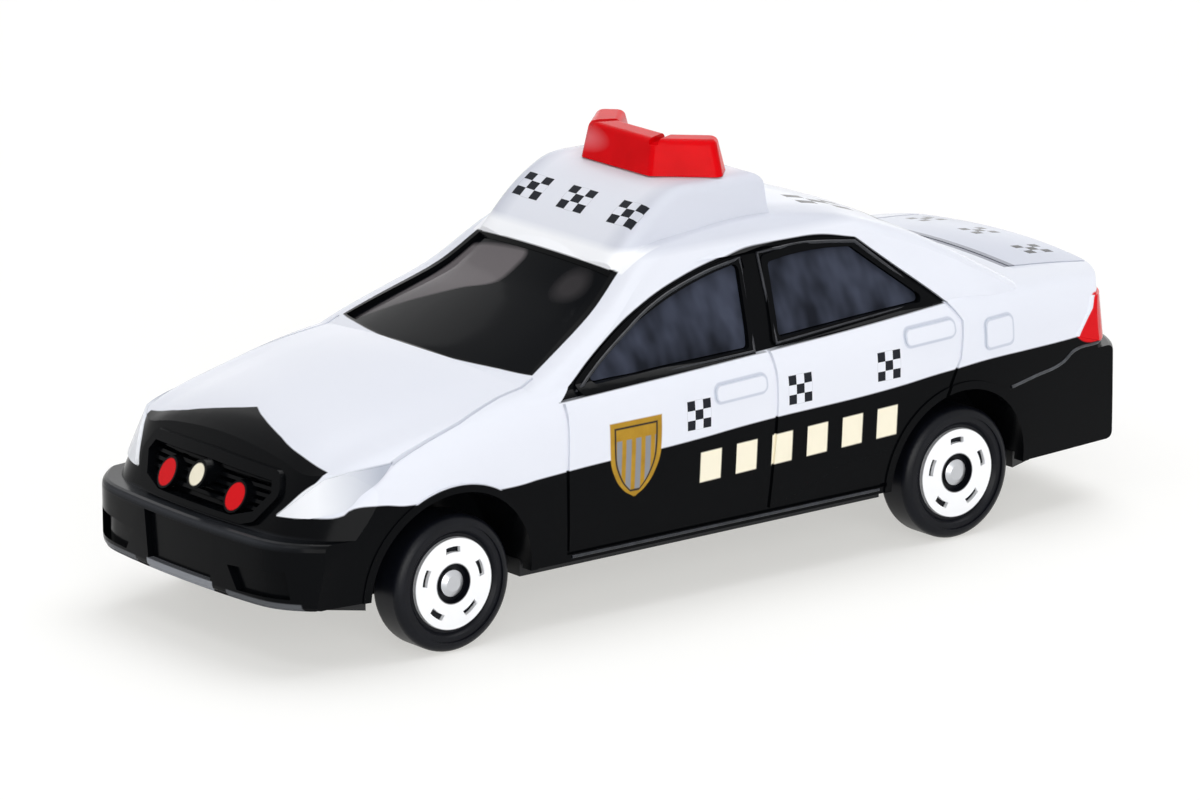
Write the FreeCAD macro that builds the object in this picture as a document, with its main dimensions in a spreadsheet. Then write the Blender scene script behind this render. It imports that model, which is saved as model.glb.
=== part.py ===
import FreeCAD, Part
import Sketcher
import os
from math import cos, pi, radians, sin

# A die-cast toy patrol car, about 1:63 of a mid-size four-door saloon.
# Millimetres. Nose at -Y, the car's left at +X, up +Z, the floor at z = 0,
# and the origin at the middle of the footprint. A size that ends in _back is
# measured from the front axle towards the tail.

Vector = FreeCAD.Vector
ALONG = Vector(0, 1, 0)
ACROSS = Vector(1, 0, 0)
UP = Vector(0, 0, 1)

SIZES = [
    # overall
    ("front_overhang", 13.55),
    ("wheelbase", 45.2),
    ("rear_overhang", 18.0),
    ("wheel_radius", 4.86),
    # walls and fits
    ("shell_wall", 0.9),
    ("glass_recess", 0.35),
    ("glass_thickness", 0.7),
    ("fit_gap", 0.05),
    ("running_gap", 0.06),
    ("line_depth", 0.2),
    ("line_width", 0.28),
    ("proud", 0.12),
    # hull
    ("overrun", 3.0),
    ("shoulder_drop", 3.2),
    ("sill_height", 4.6),
    ("sill_tuck", 1.0),
    # nose and tail outlines in plan, each leaning or square above its bumper
    ("bumper_top", 9.3),
    ("bumper_bow", 0.35),
    ("bumper_flat", 7.8),
    ("bumper_reach", 14.6),
    ("bumper_back", 8.5),
    ("bumper_round", 0.5),
    ("fascia_setback", 1.35),
    ("fascia_rake", 0.55),
    ("fascia_flat", 7.0),
    ("fascia_reach", 14.0),
    ("fascia_depth", 7.5),
    ("tail_bumper_top", 11.9),
    ("tail_flat", 6.0),
    ("tail_depth", 6.0),
    ("trunk_setback", 0.75),
    ("trunk_rake", 0.12),
    # cabin
    ("cabin_floor_height", 11.1),
    ("tumblehome", 0.6),
    ("belt_reach", 13.0),
    ("rail_round", 1.5),
    ("window_round", 0.35),
    ("window_frame", 0.5),
    ("glazing_foot_height", 16.4),
    # roof pedestal for the light bar
    ("pedestal_height", 28.0),
    ("pedestal_reach", 7.8),
    ("pedestal_round", 1.0),
    ("pedestal_flare", 2.0),
    ("pedestal_rear_back", 32.0),
    ("pedestal_rear_rake", 0.5),
    # wheel arches
    ("front_arch_radius", 6.6),
    ("rear_arch_radius", 6.3),
    ("arch_lip", 0.6),
    ("arch_depth", 4.6),
    ("well_wall", 0.7),
    # engraved lines and proud parts of the sides
    ("handle_length", 4.6),
    ("handle_height", 1.2),
    ("front_handle_back", 22.5),
    ("front_handle_height", 14.0),
    ("rear_handle_back", 39.8),
    ("rear_handle_height", 15.2),
    ("handle_slope", 2.0),
    ("fuel_lid_back", 47.2),
    ("fuel_lid_height", 13.8),
    ("fuel_lid_length", 2.7),
    ("fuel_lid_rise", 2.2),
    # grille, its bosses and the intakes
    ("recess_depth", 0.45),
    ("slat_count", 5),
    ("slat_thickness", 0.22),
    ("slat_depth", 0.12),
    ("grille_lamp_reach", 4.04),
    ("grille_lamp_height", 11.05),
    ("grille_lamp_radius", 1.05),
    ("badge_height", 11.8),
    ("badge_radius", 0.95),
    ("badge_proud", 0.65),
    ("lamp_proud", 0.25),
    ("crown_width", 0.7),
    ("crown_proud", 0.25),
    # light bar
    ("bar_seat_height", 28.06),
    ("bar_height", 2.54),
    ("bar_flat_reach", 3.9),
    ("bar_reach", 7.5),
    ("bar_sweep", 46),
    ("bar_depth", 3.1),
    ("bar_front_back", 24.7),
    ("bar_lean", 12),
    ("bar_wall", 0.6),
    ("bar_roof", 0.9),
    ("bar_round", 0.5),
    ("bar_tip_round", 0.7),
    ("bar_notch", 0.4),
    # wheels and axles
    ("wheel_width", 3.2),
    ("wheel_face_reach", 13.5),
    ("tyre_round", 0.6),
    ("sidewall_groove", 0.25),
    ("sidewall_ring", 4.15),
    ("disc_radius", 3.25),
    ("disc_recess", 0.15),
    ("hub_radius", 1.38),
    ("hub_depth", 0.5),
    ("slot_circle_radius", 2.45),
    ("slot_width", 0.42),
    ("slot_length", 1.2),
    ("slot_depth", 0.35),
    ("slot_count", 5),
    ("axle_radius", 0.6),
    ("axle_head_radius", 0.94),
    ("axle_head_length", 0.45),
    ("axle_head_flat", 0.56),
    ("axle_head_chamfer", 0.18),
    # base plate and the posts that hold it
    ("base_thickness", 1.2),
    ("base_height", 3.9),
    ("base_half_width", 12.3),
    ("base_narrow_half_width", 9.4),
    ("base_end_inset", 3.2),
    ("base_end_half_width", 9.0),
    ("bearer_half_length", 1.7),
    ("post_radius", 1.3),
    ("front_post_back", -5.0),
    ("rear_post_back", 56.0),
    ("rivet_radius", 1.9),
    ("rivet_depth", 0.5),
    ("post_bite", 0.25),
    # interior
    ("floor_front_back", 10.35),
    ("floor_rear_back", 37.9),
    ("floor_half_width", 10.1),
    ("floor_thickness", 1.0),
    ("dash_length", 4.0),
    ("dash_height", 15.5),
    ("seat_middle", 5.2),
    ("seat_width", 6.6),
    ("bench_width", 18.0),
    ("front_seat_back", 25.35),
    ("rear_seat_back", 34.0),
    ("cushion_length", 6.0),
    ("cushion_height", 9.0),
    ("back_thickness", 1.8),
    ("back_lean", 2.0),
    ("seat_back_height", 18.0),
    ("steering_radius", 2.6),
    ("steering_rim", 0.35),
    ("steering_column", 2.0),
    ("steering_height", 13.6),
]

# Driving lines and outlines: the names of their two columns, then their points
TABLES = {
    "top": (
        "back", "height",
        [(-17.5, 10.4), (-10.3, 12.9), (-6.8, 15.7), (0, 17.05), (5.8, 17.9), (53.4, 18.3), (66.2, 17.1)],
    ),
    "shoulder": (
        "back", "height",
        [
            (-17.5, 10.8), (-10.3, 11.8), (-6.8, 14.2), (0, 15.75), (8.8, 17.15), (24.35, 16.95),
            (45.2, 17.8), (63.2, 16.9), (66.2, 16.1),
        ],
    ),
    "shoulder_plan": (
        "back", "reach",
        [(-17.5, 9.6), (-6.8, 10.6), (0, 11.2), (24.35, 12.1), (45.2, 12.1), (66.2, 10.4)],
    ),
    "side_plan": (
        "back", "reach",
        [(-17.5, 12.3), (-6.8, 13.4), (0, 14.1), (24.35, 14.2), (45.2, 14.25), (60.2, 13.2), (66.2, 12.4)],
    ),
    "belt": ("back", "height", [(0, 15.8), (8.8, 16.1), (45.2, 17.55), (63.2, 17.75)]),
    "roof": (
        "back", "height",
        [
            (3.8, 16.49), (6.8, 17.9), (18.1, 23.2), (19.2, 24.3), (25.1, 25.3), (30.1, 25.6),
            (36.4, 25.0), (42.4, 23.35), (53.4, 17.9), (55.4, 16.9),
        ],
    ),
    "rail_drop": ("back", "height", [(3.8, 1.3), (18.1, 0.9), (23.1, 0.5), (42.4, 0.5), (55.4, 0.9)]),
    "rail_plan": (
        "back", "reach",
        [(3.8, 12.0), (10.2, 11.2), (18.1, 8.6), (23.1, 8.3), (37.4, 8.3), (55.4, 10.6)],
    ),
    "ramp": (
        "back", "height",
        [
            (17.2, 22.4), (18.2, 23.25), (19.2, 24.3), (21.0, 26.0), (23.0, 27.35),
            (24.6, 27.95), (27.0, 28.0), (34.0, 28.0),
        ],
    ),
    "front_window": (
        "back", "height", [(11.7, 16.73), (19.2, 20.35), (28.0, 22.4), (26.6, 16.97)],
    ),
    "rear_window": (
        "back", "height", [(30.5, 22.1), (34.2, 22.35), (38.0, 22.1), (42.9, 17.9), (29.3, 17.3)],
    ),
    "daylight": (
        "back", "height",
        [
            (9.35, 16.13), (13.9, 18.7), (18.3, 20.61), (22.5, 21.94), (26.5, 22.75), (30.0, 23.2),
            (34.0, 23.25), (38.6, 22.67), (44.6, 17.55), (27.85, 16.6),
        ],
    ),
    "windscreen": ("across", "back", [(0, 6.8), (10.73, 8.8), (7.65, 18.4), (0, 17.9)]),
    "back_screen": ("across", "back", [(0, 52.9), (9.6, 51.5), (7.2, 43.1), (0, 43.8)]),
    "grille": ("across", "height", [(4.3, 9.9), (6.3, 10.5), (7.3, 11.9), (6.9, 12.6), (0, 12.75)]),
    "centre_intake": ("across", "height", [(4.1, 8.75), (3.7, 5.3)]),
    "side_intake": ("across", "height", [(5.6, 6.9), (10.9, 7.3), (11.2, 5.4), (6.6, 5.3)]),
    "plate_panel": ("across", "height", [(5.2, 9.4), (5.2, 6.3)]),
    "lamp": (
        "across", "height",
        [
            (-1.98, 10.57), (1.34, 13.17), (3.02, 13.69), (5.82, 14.04), (5.12, 13.13),
            (4.02, 12.31), (2.92, 11.3), (0.52, 10.7),
        ],
    ),
    "tail_lamp": (
        "across", "height",
        [(5.6, 12.4), (5.6, 15.2), (9.5, 15.7), (12.8, 15.85), (14.5, 13.2), (12.5, 12.4)],
    ),
    "front_door_line": ("back", "height", [(9.55, 16.0), (9.45, 11.5), (9.85, 5.25), (38.4, 5.25)]),
    "pillar_line": ("back", "height", [(28.3, 23.0), (28.1, 16.8), (27.95, 12.1), (27.6, 5.25)]),
    "rear_door_line": ("back", "height", [(44.4, 17.6), (45.2, 16.2), (44.8, 13.6), (43.6, 10.9)]),
    "bonnet_line": ("across", "back", [(12.75, -4.6), (12.4, 1.5), (11.6, 5.4), (11.3, 8.6)]),
    "trunk_line": ("across", "back", [(9.4, 62.0), (8.8, 54.0), (-8.8, 54.0), (-9.4, 62.0)]),
}

doc = FreeCAD.newDocument("toy_patrol_car")
sheet = doc.addObject("Spreadsheet::Sheet", "Sizes")
cells = list(SIZES)
for name, (first, second, points) in TABLES.items():
    for number, pair in enumerate(points, start=1):
        cells.append((f"{name}_{number}_{first}", pair[0]))
        cells.append((f"{name}_{number}_{second}", pair[1]))
for row, (alias, value) in enumerate(cells, start=1):
    sheet.set(f"A{row}", alias)
    sheet.set(f"B{row}", str(value))
    sheet.setAlias(f"B{row}", alias)
doc.recompute()


def size(alias):
    return float(sheet.get(alias))


def table(name):
    first, second, points = TABLES[name]
    return [
        (size(f"{name}_{number}_{first}"), size(f"{name}_{number}_{second}"))
        for number in range(1, len(points) + 1)
    ]


car_length = size("front_overhang") + size("wheelbase") + size("rear_overhang")
nose_y = -car_length / 2
tail_y = car_length / 2
front_axle_y = nose_y + size("front_overhang")
rear_axle_y = front_axle_y + size("wheelbase")
far = 2 * car_length
wall = size("shell_wall")
gap = size("fit_gap")


def smooth(points):
    """A function of y through (back, value) points, with no overshoot between them."""
    ys = [front_axle_y + back for back, value in points]
    values = [value for back, value in points]
    slopes = [
        (values[i + 1] - values[i]) / (ys[i + 1] - ys[i]) for i in range(len(ys) - 1)
    ]
    tangents = [slopes[0]]
    for before, after in zip(slopes, slopes[1:]):
        level = before * after <= 0
        tangents.append(0.0 if level else 2 * before * after / (before + after))
    tangents.append(slopes[-1])

    def value_at(y):
        i = 0
        while i < len(ys) - 2 and y > ys[i + 1]:
            i += 1
        span = ys[i + 1] - ys[i]
        u = min(max((y - ys[i]) / span, 0.0), 1.0)
        rise = u * u * (3 - 2 * u)
        return (
            values[i] * (1 - rise)
            + values[i + 1] * rise
            + span * tangents[i] * u * (1 - u) ** 2
            - span * tangents[i + 1] * u * u * (1 - u)
        )

    return value_at


def spread(first, last, count):
    return [first + (last - first) * i / (count - 1) for i in range(count)]


def curve_through(points, like=None):
    """One smooth edge through the points, paced by the spacing of the points that it is like."""
    if len(points) == 2:
        return Part.makeLine(points[0], points[1])
    paces = [0.0]
    model = like or points
    for first, last in zip(model, model[1:]):
        paces.append(paces[-1] + (last - first).Length)
    curve = Part.BSplineCurve()
    curve.interpolate(Points=points, Parameters=paces)
    return curve.toShape()


def mirrored(points):
    return [Vector(-p.x, p.y, p.z) for p in reversed(points)]


def whole_top(half):
    return mirrored(half[0]) + half[0][1:]


def closed_section(half, like):
    """A closed wire from one half's stretches of points, the first one starting on the middle plane."""
    edges = [
        curve_through(mirrored(stretch), mirrored(model))
        for stretch, model in zip(reversed(half[1:]), reversed(like[1:]))
    ]
    edges.append(curve_through(whole_top(half), whole_top(like)))
    edges += [curve_through(stretch, model) for stretch, model in zip(half[1:], like[1:])]
    low = half[-1][-1]
    edges.append(Part.makeLine(low, Vector(-low.x, low.y, low.z)))
    return Part.Wire(edges)


def solid_through(sections):
    """A smooth solid through the sections, whose curves all keep the pace of the middle one."""
    like = sections[len(sections) // 2]
    return Part.makeLoft([closed_section(half, like) for half in sections], True, False)


# The hull: bonnet, wings, doors and boot

top_line = smooth(table("top"))
shoulder_height = smooth(table("shoulder"))
shoulder_reach = smooth(table("shoulder_plan"))
half_width = smooth(table("side_plan"))
belt_height = smooth(table("belt"))

# share of an inset by which the edge of a crowned top moves inward
EDGE_INSET = 0.7
HULL_STATIONS = 17
CABIN_STATIONS = 22


def crown(reach, middle, edge_z, y):
    """Points of a gently arched top, from the middle to its edge."""
    return [
        Vector(t * reach, y, middle - (middle - edge_z) * t ** 2) for t in spread(0, 1, 5)
    ]


def hull_section(y, inset):
    """Half of the hull's outline at y, from the middle of the top to under the sill."""
    edge_z = shoulder_height(y) - inset
    edge_x = shoulder_reach(y) - inset * EDGE_INSET
    side_x = half_width(y) - inset
    roll = size("shoulder_drop")
    low_z = size("sill_height") / 2
    shoulder = [
        Vector(
            edge_x + (side_x - edge_x) * sin(angle), y, edge_z - roll * (1 - cos(angle))
        )
        for angle in spread(0, pi / 2, 5)
    ]
    side_top = edge_z - roll
    side = [
        Vector(
            side_x - size("sill_tuck") * t ** 2, y, side_top + (low_z - side_top) * t
        )
        for t in spread(0, 1, 4)
    ]
    return [crown(edge_x, top_line(y) - inset, edge_z, y) + shoulder[1:] + side[1:]]


def hull(inset):
    stations = spread(nose_y - size("overrun"), tail_y + size("overrun"), HULL_STATIONS)
    return solid_through([hull_section(y, inset) for y in stations])


# The cabin: pillars, roof and the frames of the windows

cabin_line = smooth(table("roof"))
rail_drop = smooth(table("rail_drop"))
rail_reach = smooth(table("rail_plan"))

# angle in radians through which the roof rail curls before it meets the side
RAIL_TURN = 1.15


def cabin_section(y, inset):
    middle = cabin_line(y) - inset
    edge_z = middle - rail_drop(y)
    edge_x = rail_reach(y) - inset * EDGE_INSET
    roll = size("rail_round")

    def side_x(z):
        lean = max(0.0, z - belt_height(y)) * size("tumblehome")
        return size("belt_reach") - inset - lean

    low = edge_z - roll
    rail = [
        Vector(
            edge_x + (side_x(low) - edge_x) * sin(angle),
            y,
            edge_z - roll * (1 - cos(angle)),
        )
        for angle in spread(0, RAIL_TURN, 4)
    ]
    heights = spread(rail[-1].z, size("cabin_floor_height"), 6)
    side = [rail[-1]] + [Vector(side_x(z), y, z) for z in heights[1:]]
    return [crown(edge_x, middle, edge_z, y) + rail[1:], side]


def cabin(inset):
    roof = table("roof")
    stations = spread(front_axle_y + roof[0][0], front_axle_y + roof[-1][0], CABIN_STATIONS)
    return solid_through([cabin_section(y, inset) for y in stations])


# The pedestal: a ramp up from the windscreen's top to a level seat

ramp_line = smooth(table("ramp"))


def pedestal_section(y, inset):
    """Level on top, rounded at its edge, steep at the side and flared out onto the roof rail."""
    top_z = ramp_line(y) - inset
    reach = size("pedestal_reach") - inset
    turn = size("pedestal_round")
    foot_z = cabin_line(y) - inset - rail_drop(y)
    flare = size("pedestal_flare")
    corner = [
        Vector(
            reach - turn + turn * sin(angle), y, top_z - turn * (1 - cos(angle))
        )
        for angle in spread(0, pi / 2, 4)
    ]
    low_z = foot_z - flare
    fall = max(top_z - turn - low_z, flare / 2)
    side = [
        Vector(reach + flare * t ** 3, y, top_z - turn - fall * t) for t in spread(0, 1, 5)[1:]
    ]
    return [crown(reach - turn, top_z, top_z, y) + corner[1:] + side]


def pedestal(inset):
    points = table("ramp")
    first = front_axle_y + points[0][0]
    last = front_axle_y + points[-1][0]
    block = solid_through([pedestal_section(y, inset) for y in spread(first, last, 12)])
    rear_y = front_axle_y + size("pedestal_rear_back") - inset
    top_z = size("pedestal_height") - inset
    turn = size("pedestal_round")
    lean = size("pedestal_rear_rake")
    rounding = turn * (1 - cos(pi / 4))
    low = top_z - 2 * size("pedestal_flare") - turn
    profile = [
        Part.makeLine(Vector(0, first - turn, low), Vector(0, rear_y + lean, low)),
        Part.makeLine(Vector(0, rear_y + lean, low), Vector(0, rear_y, top_z - turn)),
        Part.Arc(
            Vector(0, rear_y, top_z - turn),
            Vector(0, rear_y - rounding, top_z - rounding),
            Vector(0, rear_y - turn, top_z),
        ).toShape(),
        Part.makeLine(Vector(0, rear_y - turn, top_z), Vector(0, rear_y - turn, top_z + 1)),
        Part.makeLine(Vector(0, rear_y - turn, top_z + 1), Vector(0, first - turn, top_z + 1)),
        Part.makeLine(Vector(0, first - turn, top_z + 1), Vector(0, first - turn, low)),
    ]
    side_view = Part.Face(Part.Wire(profile))
    side_view.translate(Vector(-far, 0, 0))
    return block.common(side_view.extrude(Vector(2 * far, 0, 0)))


# The ends: what stands behind the nose's and tail's outlines in plan

def end_outline(front_y, inward, flat, reach, back, height):
    """A face over everything behind a bow with swept corners, at one height."""
    bow = size("bumper_bow")
    half = [Vector(0, front_y, height), Vector(flat / 2, front_y + inward * bow / 4, height)]
    for angle in spread(0, pi / 2, 6):
        swept = bow + (back - bow) * (1 - cos(angle))
        half.append(
            Vector(flat + (reach - flat) * sin(angle), front_y + inward * swept, height)
        )
    wide = car_length / 3
    last = half[-1]
    rear = front_y + inward * (car_length + wide)
    right = [last, Vector(wide, last.y + inward * wide, height), Vector(wide, rear, height)]
    corners = right + mirrored(right)
    sides = [Part.makeLine(p, q) for p, q in zip(corners, corners[1:])]
    return Part.Face(Part.Wire([curve_through(mirrored(half)[:-1] + half)] + sides))


def end_block(front_y, inward, flat, reach, back, rake, bottom, top, turn=0.0):
    """Everything behind an outline that leans by its rake, with its low and high edges rounded by turn."""
    levels = [(bottom, 0.0), (top, rake * (top - bottom))]
    if turn:
        angles = spread(0, pi / 2, 4)
        levels = [(bottom + turn * (1 - cos(a)), turn * (1 - sin(a))) for a in angles]
        levels += [(top - turn * (1 - cos(a)), turn * (1 - sin(a))) for a in reversed(angles)]
    slabs = []
    for (low, setback), (high, next_setback) in zip(levels, levels[1:]):
        face = end_outline(front_y + inward * setback, inward, flat, reach, back, low)
        slabs.append(face.extrude(Vector(0, inward * (next_setback - setback), high - low)))
    return slabs[0].fuse(slabs[1:]) if turn else slabs[0]


def nose(inset, turn=0.0):
    bumper = end_block(
        nose_y + inset, 1, size("bumper_flat"), size("bumper_reach") - inset,
        size("bumper_back"), 0, size("sill_height"), size("bumper_top") - inset, turn,
    )
    fascia = end_block(
        nose_y + size("fascia_setback") + inset, 1, size("fascia_flat"),
        size("fascia_reach") - inset, size("fascia_depth"), size("fascia_rake"),
        size("bumper_top") - inset, size("pedestal_height") + 1,
    )
    return bumper, fascia


def tail(inset, turn=0.0):
    bumper = end_block(
        tail_y - inset, -1, size("tail_flat"), size("bumper_reach") - inset,
        size("tail_depth"), 0, size("sill_height"), size("tail_bumper_top") - inset, turn,
    )
    trunk = end_block(
        tail_y - size("trunk_setback") - inset, -1, size("tail_flat"),
        size("fascia_reach") - inset, size("tail_depth"), size("trunk_rake"),
        size("tail_bumper_top") - inset, size("pedestal_height") + 1,
    )
    return bumper, trunk


def body_form(inset, turn=0.0):
    """The whole outside of the body as one solid, drawn in by inset."""
    front_bumper, fascia = nose(inset, turn)
    rear_bumper, trunk = tail(inset, turn)
    lower = hull(inset).common(front_bumper.fuse(fascia)).common(rear_bumper.fuse(trunk))
    return lower.fuse([cabin(inset), pedestal(inset)])


# Outlines as prisms along one axis

def side_view(points):
    return [Vector(0, front_axle_y + back, height) for back, height in points]


def plan_view(points):
    return [Vector(across, front_axle_y + back, 0) for across, back in points]


def front_view(points):
    return [Vector(across, 0, height) for across, height in points]


def diagonal_view(points, inward=1, from_y=front_axle_y):
    """Points seen along the diagonal at a corner of the car, across it and up."""
    share = cos(radians(45))
    return [
        Vector(across * share, from_y + inward * across * share, height)
        for across, height in points
    ]


def prism(points, direction, start, length):
    face = Part.Face(Part.makePolygon(points + points[:1]))
    face.translate(direction * start)
    return face.extrude(direction * length)


def both_sides(shape):
    return [shape, shape.mirror(Vector(0, 0, 0), ACROSS)]


def stroke(points, direction, start, length):
    """A thin prism along a run of straight lines, for an engraved line."""
    half = size("line_width") / 2
    runs = [(last - first).normalize() for first, last in zip(points, points[1:])]
    left, right = [], []
    for i, point in enumerate(points):
        run = (runs[max(i - 1, 0)] + runs[min(i, len(runs) - 1)]).normalize()
        side = run.cross(direction).normalize() * half
        left.append(point + side)
        right.append(point - side)
    return prism(left + right[::-1], direction, start, length)


def rounded_prism(points, direction, start, length, turn):
    block = prism(points, direction, start, length)
    edges = [
        edge for edge in block.Edges
        if abs(abs((edge.Vertexes[-1].Point - edge.Vertexes[0].Point).dot(direction)) - length) < gap
    ]
    return block.makeFillet(turn, edges)


def arched_face(low_front, crest, low_rear, rest):
    """A face with one arched edge over three points, closed by straight lines."""
    arch = Part.Arc(low_front, crest, low_rear).toShape()
    corners = [low_rear] + rest + [low_front]
    sides = [Part.makeLine(p, q) for p, q in zip(corners, corners[1:])]
    return Part.Face(Part.Wire([arch] + sides))


def window_faces():
    front = side_view(table("front_window"))
    rear = side_view(table("rear_window"))
    return [arched_face(*front[:3], front[3:]), arched_face(*rear[:3], rear[3:])]


def side_windows(margin):
    """Prisms across the car for its side windows, each drawn in by margin, or out if it is negative."""
    prisms = []
    for face in window_faces():
        if margin:
            face = face.makeOffset2D(-margin)
        face.translate(Vector(-far, 0, 0))
        block = face.extrude(Vector(2 * far, 0, 0))
        if margin >= 0:
            long_edges = [edge for edge in block.Edges if edge.Length > far]
            block = block.makeFillet(size("window_round"), long_edges)
        prisms.append(block)
    return prisms


def screens(margin):
    """Openings of the windscreen and the rear window, as prisms straight up."""
    prisms = []
    for name, rearward in (("windscreen", 1), ("back_screen", -1)):
        half = []
        for number, (across, back) in enumerate(table(name)):
            inward = rearward * margin * (1 if number < 2 else -1)
            y = front_axle_y + back + inward
            half.append(Vector(across - margin if across else 0, y, size("cabin_floor_height")))
        other = [Vector(-p.x, p.y, p.z) for p in half]
        edges = [
            curve_through([other[1], half[0], half[1]]),
            Part.makeLine(half[1], half[2]),
            curve_through([half[2], half[3], other[2]]),
            Part.makeLine(other[2], other[1]),
        ]
        prisms.append(Part.Face(Part.Wire(edges)).extrude(UP * size("pedestal_height")))
    return prisms


def daylight_band():
    """The sunken black band round the side windows, which leaves a frame round each of them."""
    points = side_view(table("daylight"))
    edges = [curve_through(points[:8])]
    rest = points[7:] + points[:1]
    edges += [Part.makeLine(p, q) for p, q in zip(rest, rest[1:])]
    face = Part.Face(Part.Wire(edges))
    face.translate(Vector(-far, 0, 0))
    return face.extrude(Vector(2 * far, 0, 0)).cut(side_windows(-size("window_frame")))


def outline_of_box(back, height, length, rise, slope=0.0):
    lift = length * sin(radians(slope))
    return side_view(
        [
            (back, height), (back + length, height + lift),
            (back + length, height + lift + rise), (back, height + rise),
        ]
    )


def engraved_tools():
    """Everything that is cut a line's depth into the body: the window band and the shut lines."""
    tools = [daylight_band()]
    for name in ("front_door_line", "pillar_line", "rear_door_line"):
        tools.append(stroke(side_view(table(name)), ACROSS, -far, 2 * far))
    tools += both_sides(stroke(plan_view(table("bonnet_line")), UP, size("bumper_top"), far))
    tools.append(stroke(plan_view(table("trunk_line")), UP, size("cabin_floor_height"), far))
    return tools[0].fuse(tools[1:])


def arch_discs(extra, first_x, last_x):
    discs = []
    for axle_y, name in ((front_axle_y, "front"), (rear_axle_y, "rear")):
        radius = size(f"{name}_arch_radius") + extra
        for side in (1, -1):
            start = Vector(side * first_x, axle_y, size("wheel_radius"))
            discs.append(Part.makeCylinder(radius, last_x - first_x, start, ACROSS * side))
    return discs


def proud_parts():
    """Arch lips, door handles, fuel lid and lamps, each standing just proud of the body's sides."""
    inner_x = size("wheel_face_reach") - size("arch_depth") / 2
    lips = arch_discs(size("arch_lip"), inner_x, size("wheel_face_reach") + 1)
    pads = []
    for end_name in ("front", "rear"):
        points = outline_of_box(
            size(f"{end_name}_handle_back"), size(f"{end_name}_handle_height"),
            size("handle_length"), size("handle_height"), size("handle_slope"),
        )
        handle = rounded_prism(points, ACROSS, size("belt_reach"), far, size("handle_height") / 3)
        pads += both_sides(handle)
    lid = outline_of_box(
        size("fuel_lid_back"), size("fuel_lid_height"), size("fuel_lid_length"), size("fuel_lid_rise")
    )
    pads.append(rounded_prism(lid, ACROSS, size("belt_reach") - 1, far, size("handle_height") / 3))
    raised = hull(-size("proud"))
    parts = [raised.common(lips + pads)]
    outward = Vector(1, -1, 0).normalize()
    lamp = prism(diagonal_view(table("lamp")), outward, size("fascia_flat"), far)
    fascia = nose(-size("proud"))[1]
    parts.append(raised.common(fascia).common(both_sides(lamp)))
    rearward = Vector(1, 1, 0).normalize()
    tail_lamp = prism(diagonal_view(table("tail_lamp"), -1, tail_y), rearward, 0, far)
    trunk = tail(-size("proud"))[1]
    parts.append(raised.common(trunk).common(both_sides(tail_lamp)))
    return parts


def front_recesses():
    """The grille's opening and the bumper's intakes, as deep as the recess."""
    grille = table("grille")
    outline = front_view(grille)
    panel = front_view(table("centre_intake"))
    intake = front_view(table("side_intake"))
    shapes = [
        prism(outline + mirrored(outline)[1:], ALONG, nose_y - 1, size("front_overhang")),
        prism(panel + mirrored(panel), ALONG, nose_y - 1, size("front_overhang")),
    ]
    shapes += both_sides(prism(intake, ALONG, nose_y - 1, size("front_overhang")))
    rear_panel = front_view(table("plate_panel"))
    plate = prism(rear_panel + mirrored(rear_panel), ALONG, tail_y - size("rear_overhang") / 2, far)
    bumper, fascia = nose(size("recess_depth"))
    rear_bumper, trunk = tail(size("recess_depth"))
    cuts = [shape.cut([bumper, fascia]) for shape in shapes]
    cuts.append(plate.cut([rear_bumper, trunk]))
    return cuts


def front_fittings():
    """Slats across the grille, the two lamps and the round badge in it."""
    bars = []
    points = table("grille")
    low = points[0][1]
    high = points[-1][1]
    count = int(size("slat_count"))
    for number in range(count):
        z = low + (high - low) * (number + 1) / (count + 1)
        bars.append(
            Part.makeBox(
                2 * points[2][0], size("front_overhang"), size("slat_thickness"),
                Vector(-points[2][0], nose_y, z),
            )
        )
    outline = front_view(points)
    opening = prism(outline + mirrored(outline)[1:], ALONG, nose_y, size("front_overhang"))
    skin_front = nose(size("slat_depth"))[1]
    skin_back = nose(wall)[1]
    plate = skin_front.cut(skin_back)
    slats = [plate.common(bar).common(opening) for bar in bars]
    surface = nose(-size("lamp_proud"))[1]
    lamps = []
    for side in (1, -1):
        start = Vector(side * size("grille_lamp_reach"), nose_y, size("grille_lamp_height"))
        lamps.append(Part.makeCylinder(size("grille_lamp_radius"), size("front_overhang"), start, ALONG))
    lamps = [lamp.common(surface.cut(skin_back)) for lamp in lamps]
    badge_start = Vector(0, nose_y, size("badge_height"))
    badge = Part.makeCylinder(size("badge_radius"), size("front_overhang"), badge_start, ALONG)
    badge = badge.common(nose(-size("badge_proud"))[1].cut(skin_back))
    frame = Part.Face(Part.makePolygon(outline + mirrored(outline)[1:] + outline[:1]))
    frame = frame.makeOffset2D(size("crown_width")).cut(frame)
    frame.translate(ALONG * nose_y)
    frame = frame.extrude(ALONG * size("front_overhang"))
    frame = frame.common(nose(-size("crown_proud"))[1].cut(skin_back)).common(hull(-size("crown_proud")))
    return slats + lamps + [badge, frame]


def wheel_wells():
    """Solid drums behind the arches, which leave walls round the wheels, clear of the base plate."""
    well_wall = size("well_wall")
    inner_x = size("wheel_face_reach") - size("arch_depth")
    half_length = size("bearer_half_length") + gap
    bearer_top = size("wheel_radius") + size("axle_radius") + size("base_thickness") + gap
    plate_top = size("base_height") + size("base_thickness") + gap
    clear = [Part.makeBox(far, far, plate_top, Vector(-far / 2, -far / 2, 0))]
    for axle_y in (front_axle_y, rear_axle_y):
        corner = Vector(-far / 2, axle_y - half_length, 0)
        clear.append(Part.makeBox(far, 2 * half_length, bearer_top, corner))
    drums = arch_discs(well_wall, inner_x - well_wall, size("wheel_face_reach"))
    return [drum.cut(clear) for drum in drums]


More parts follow.
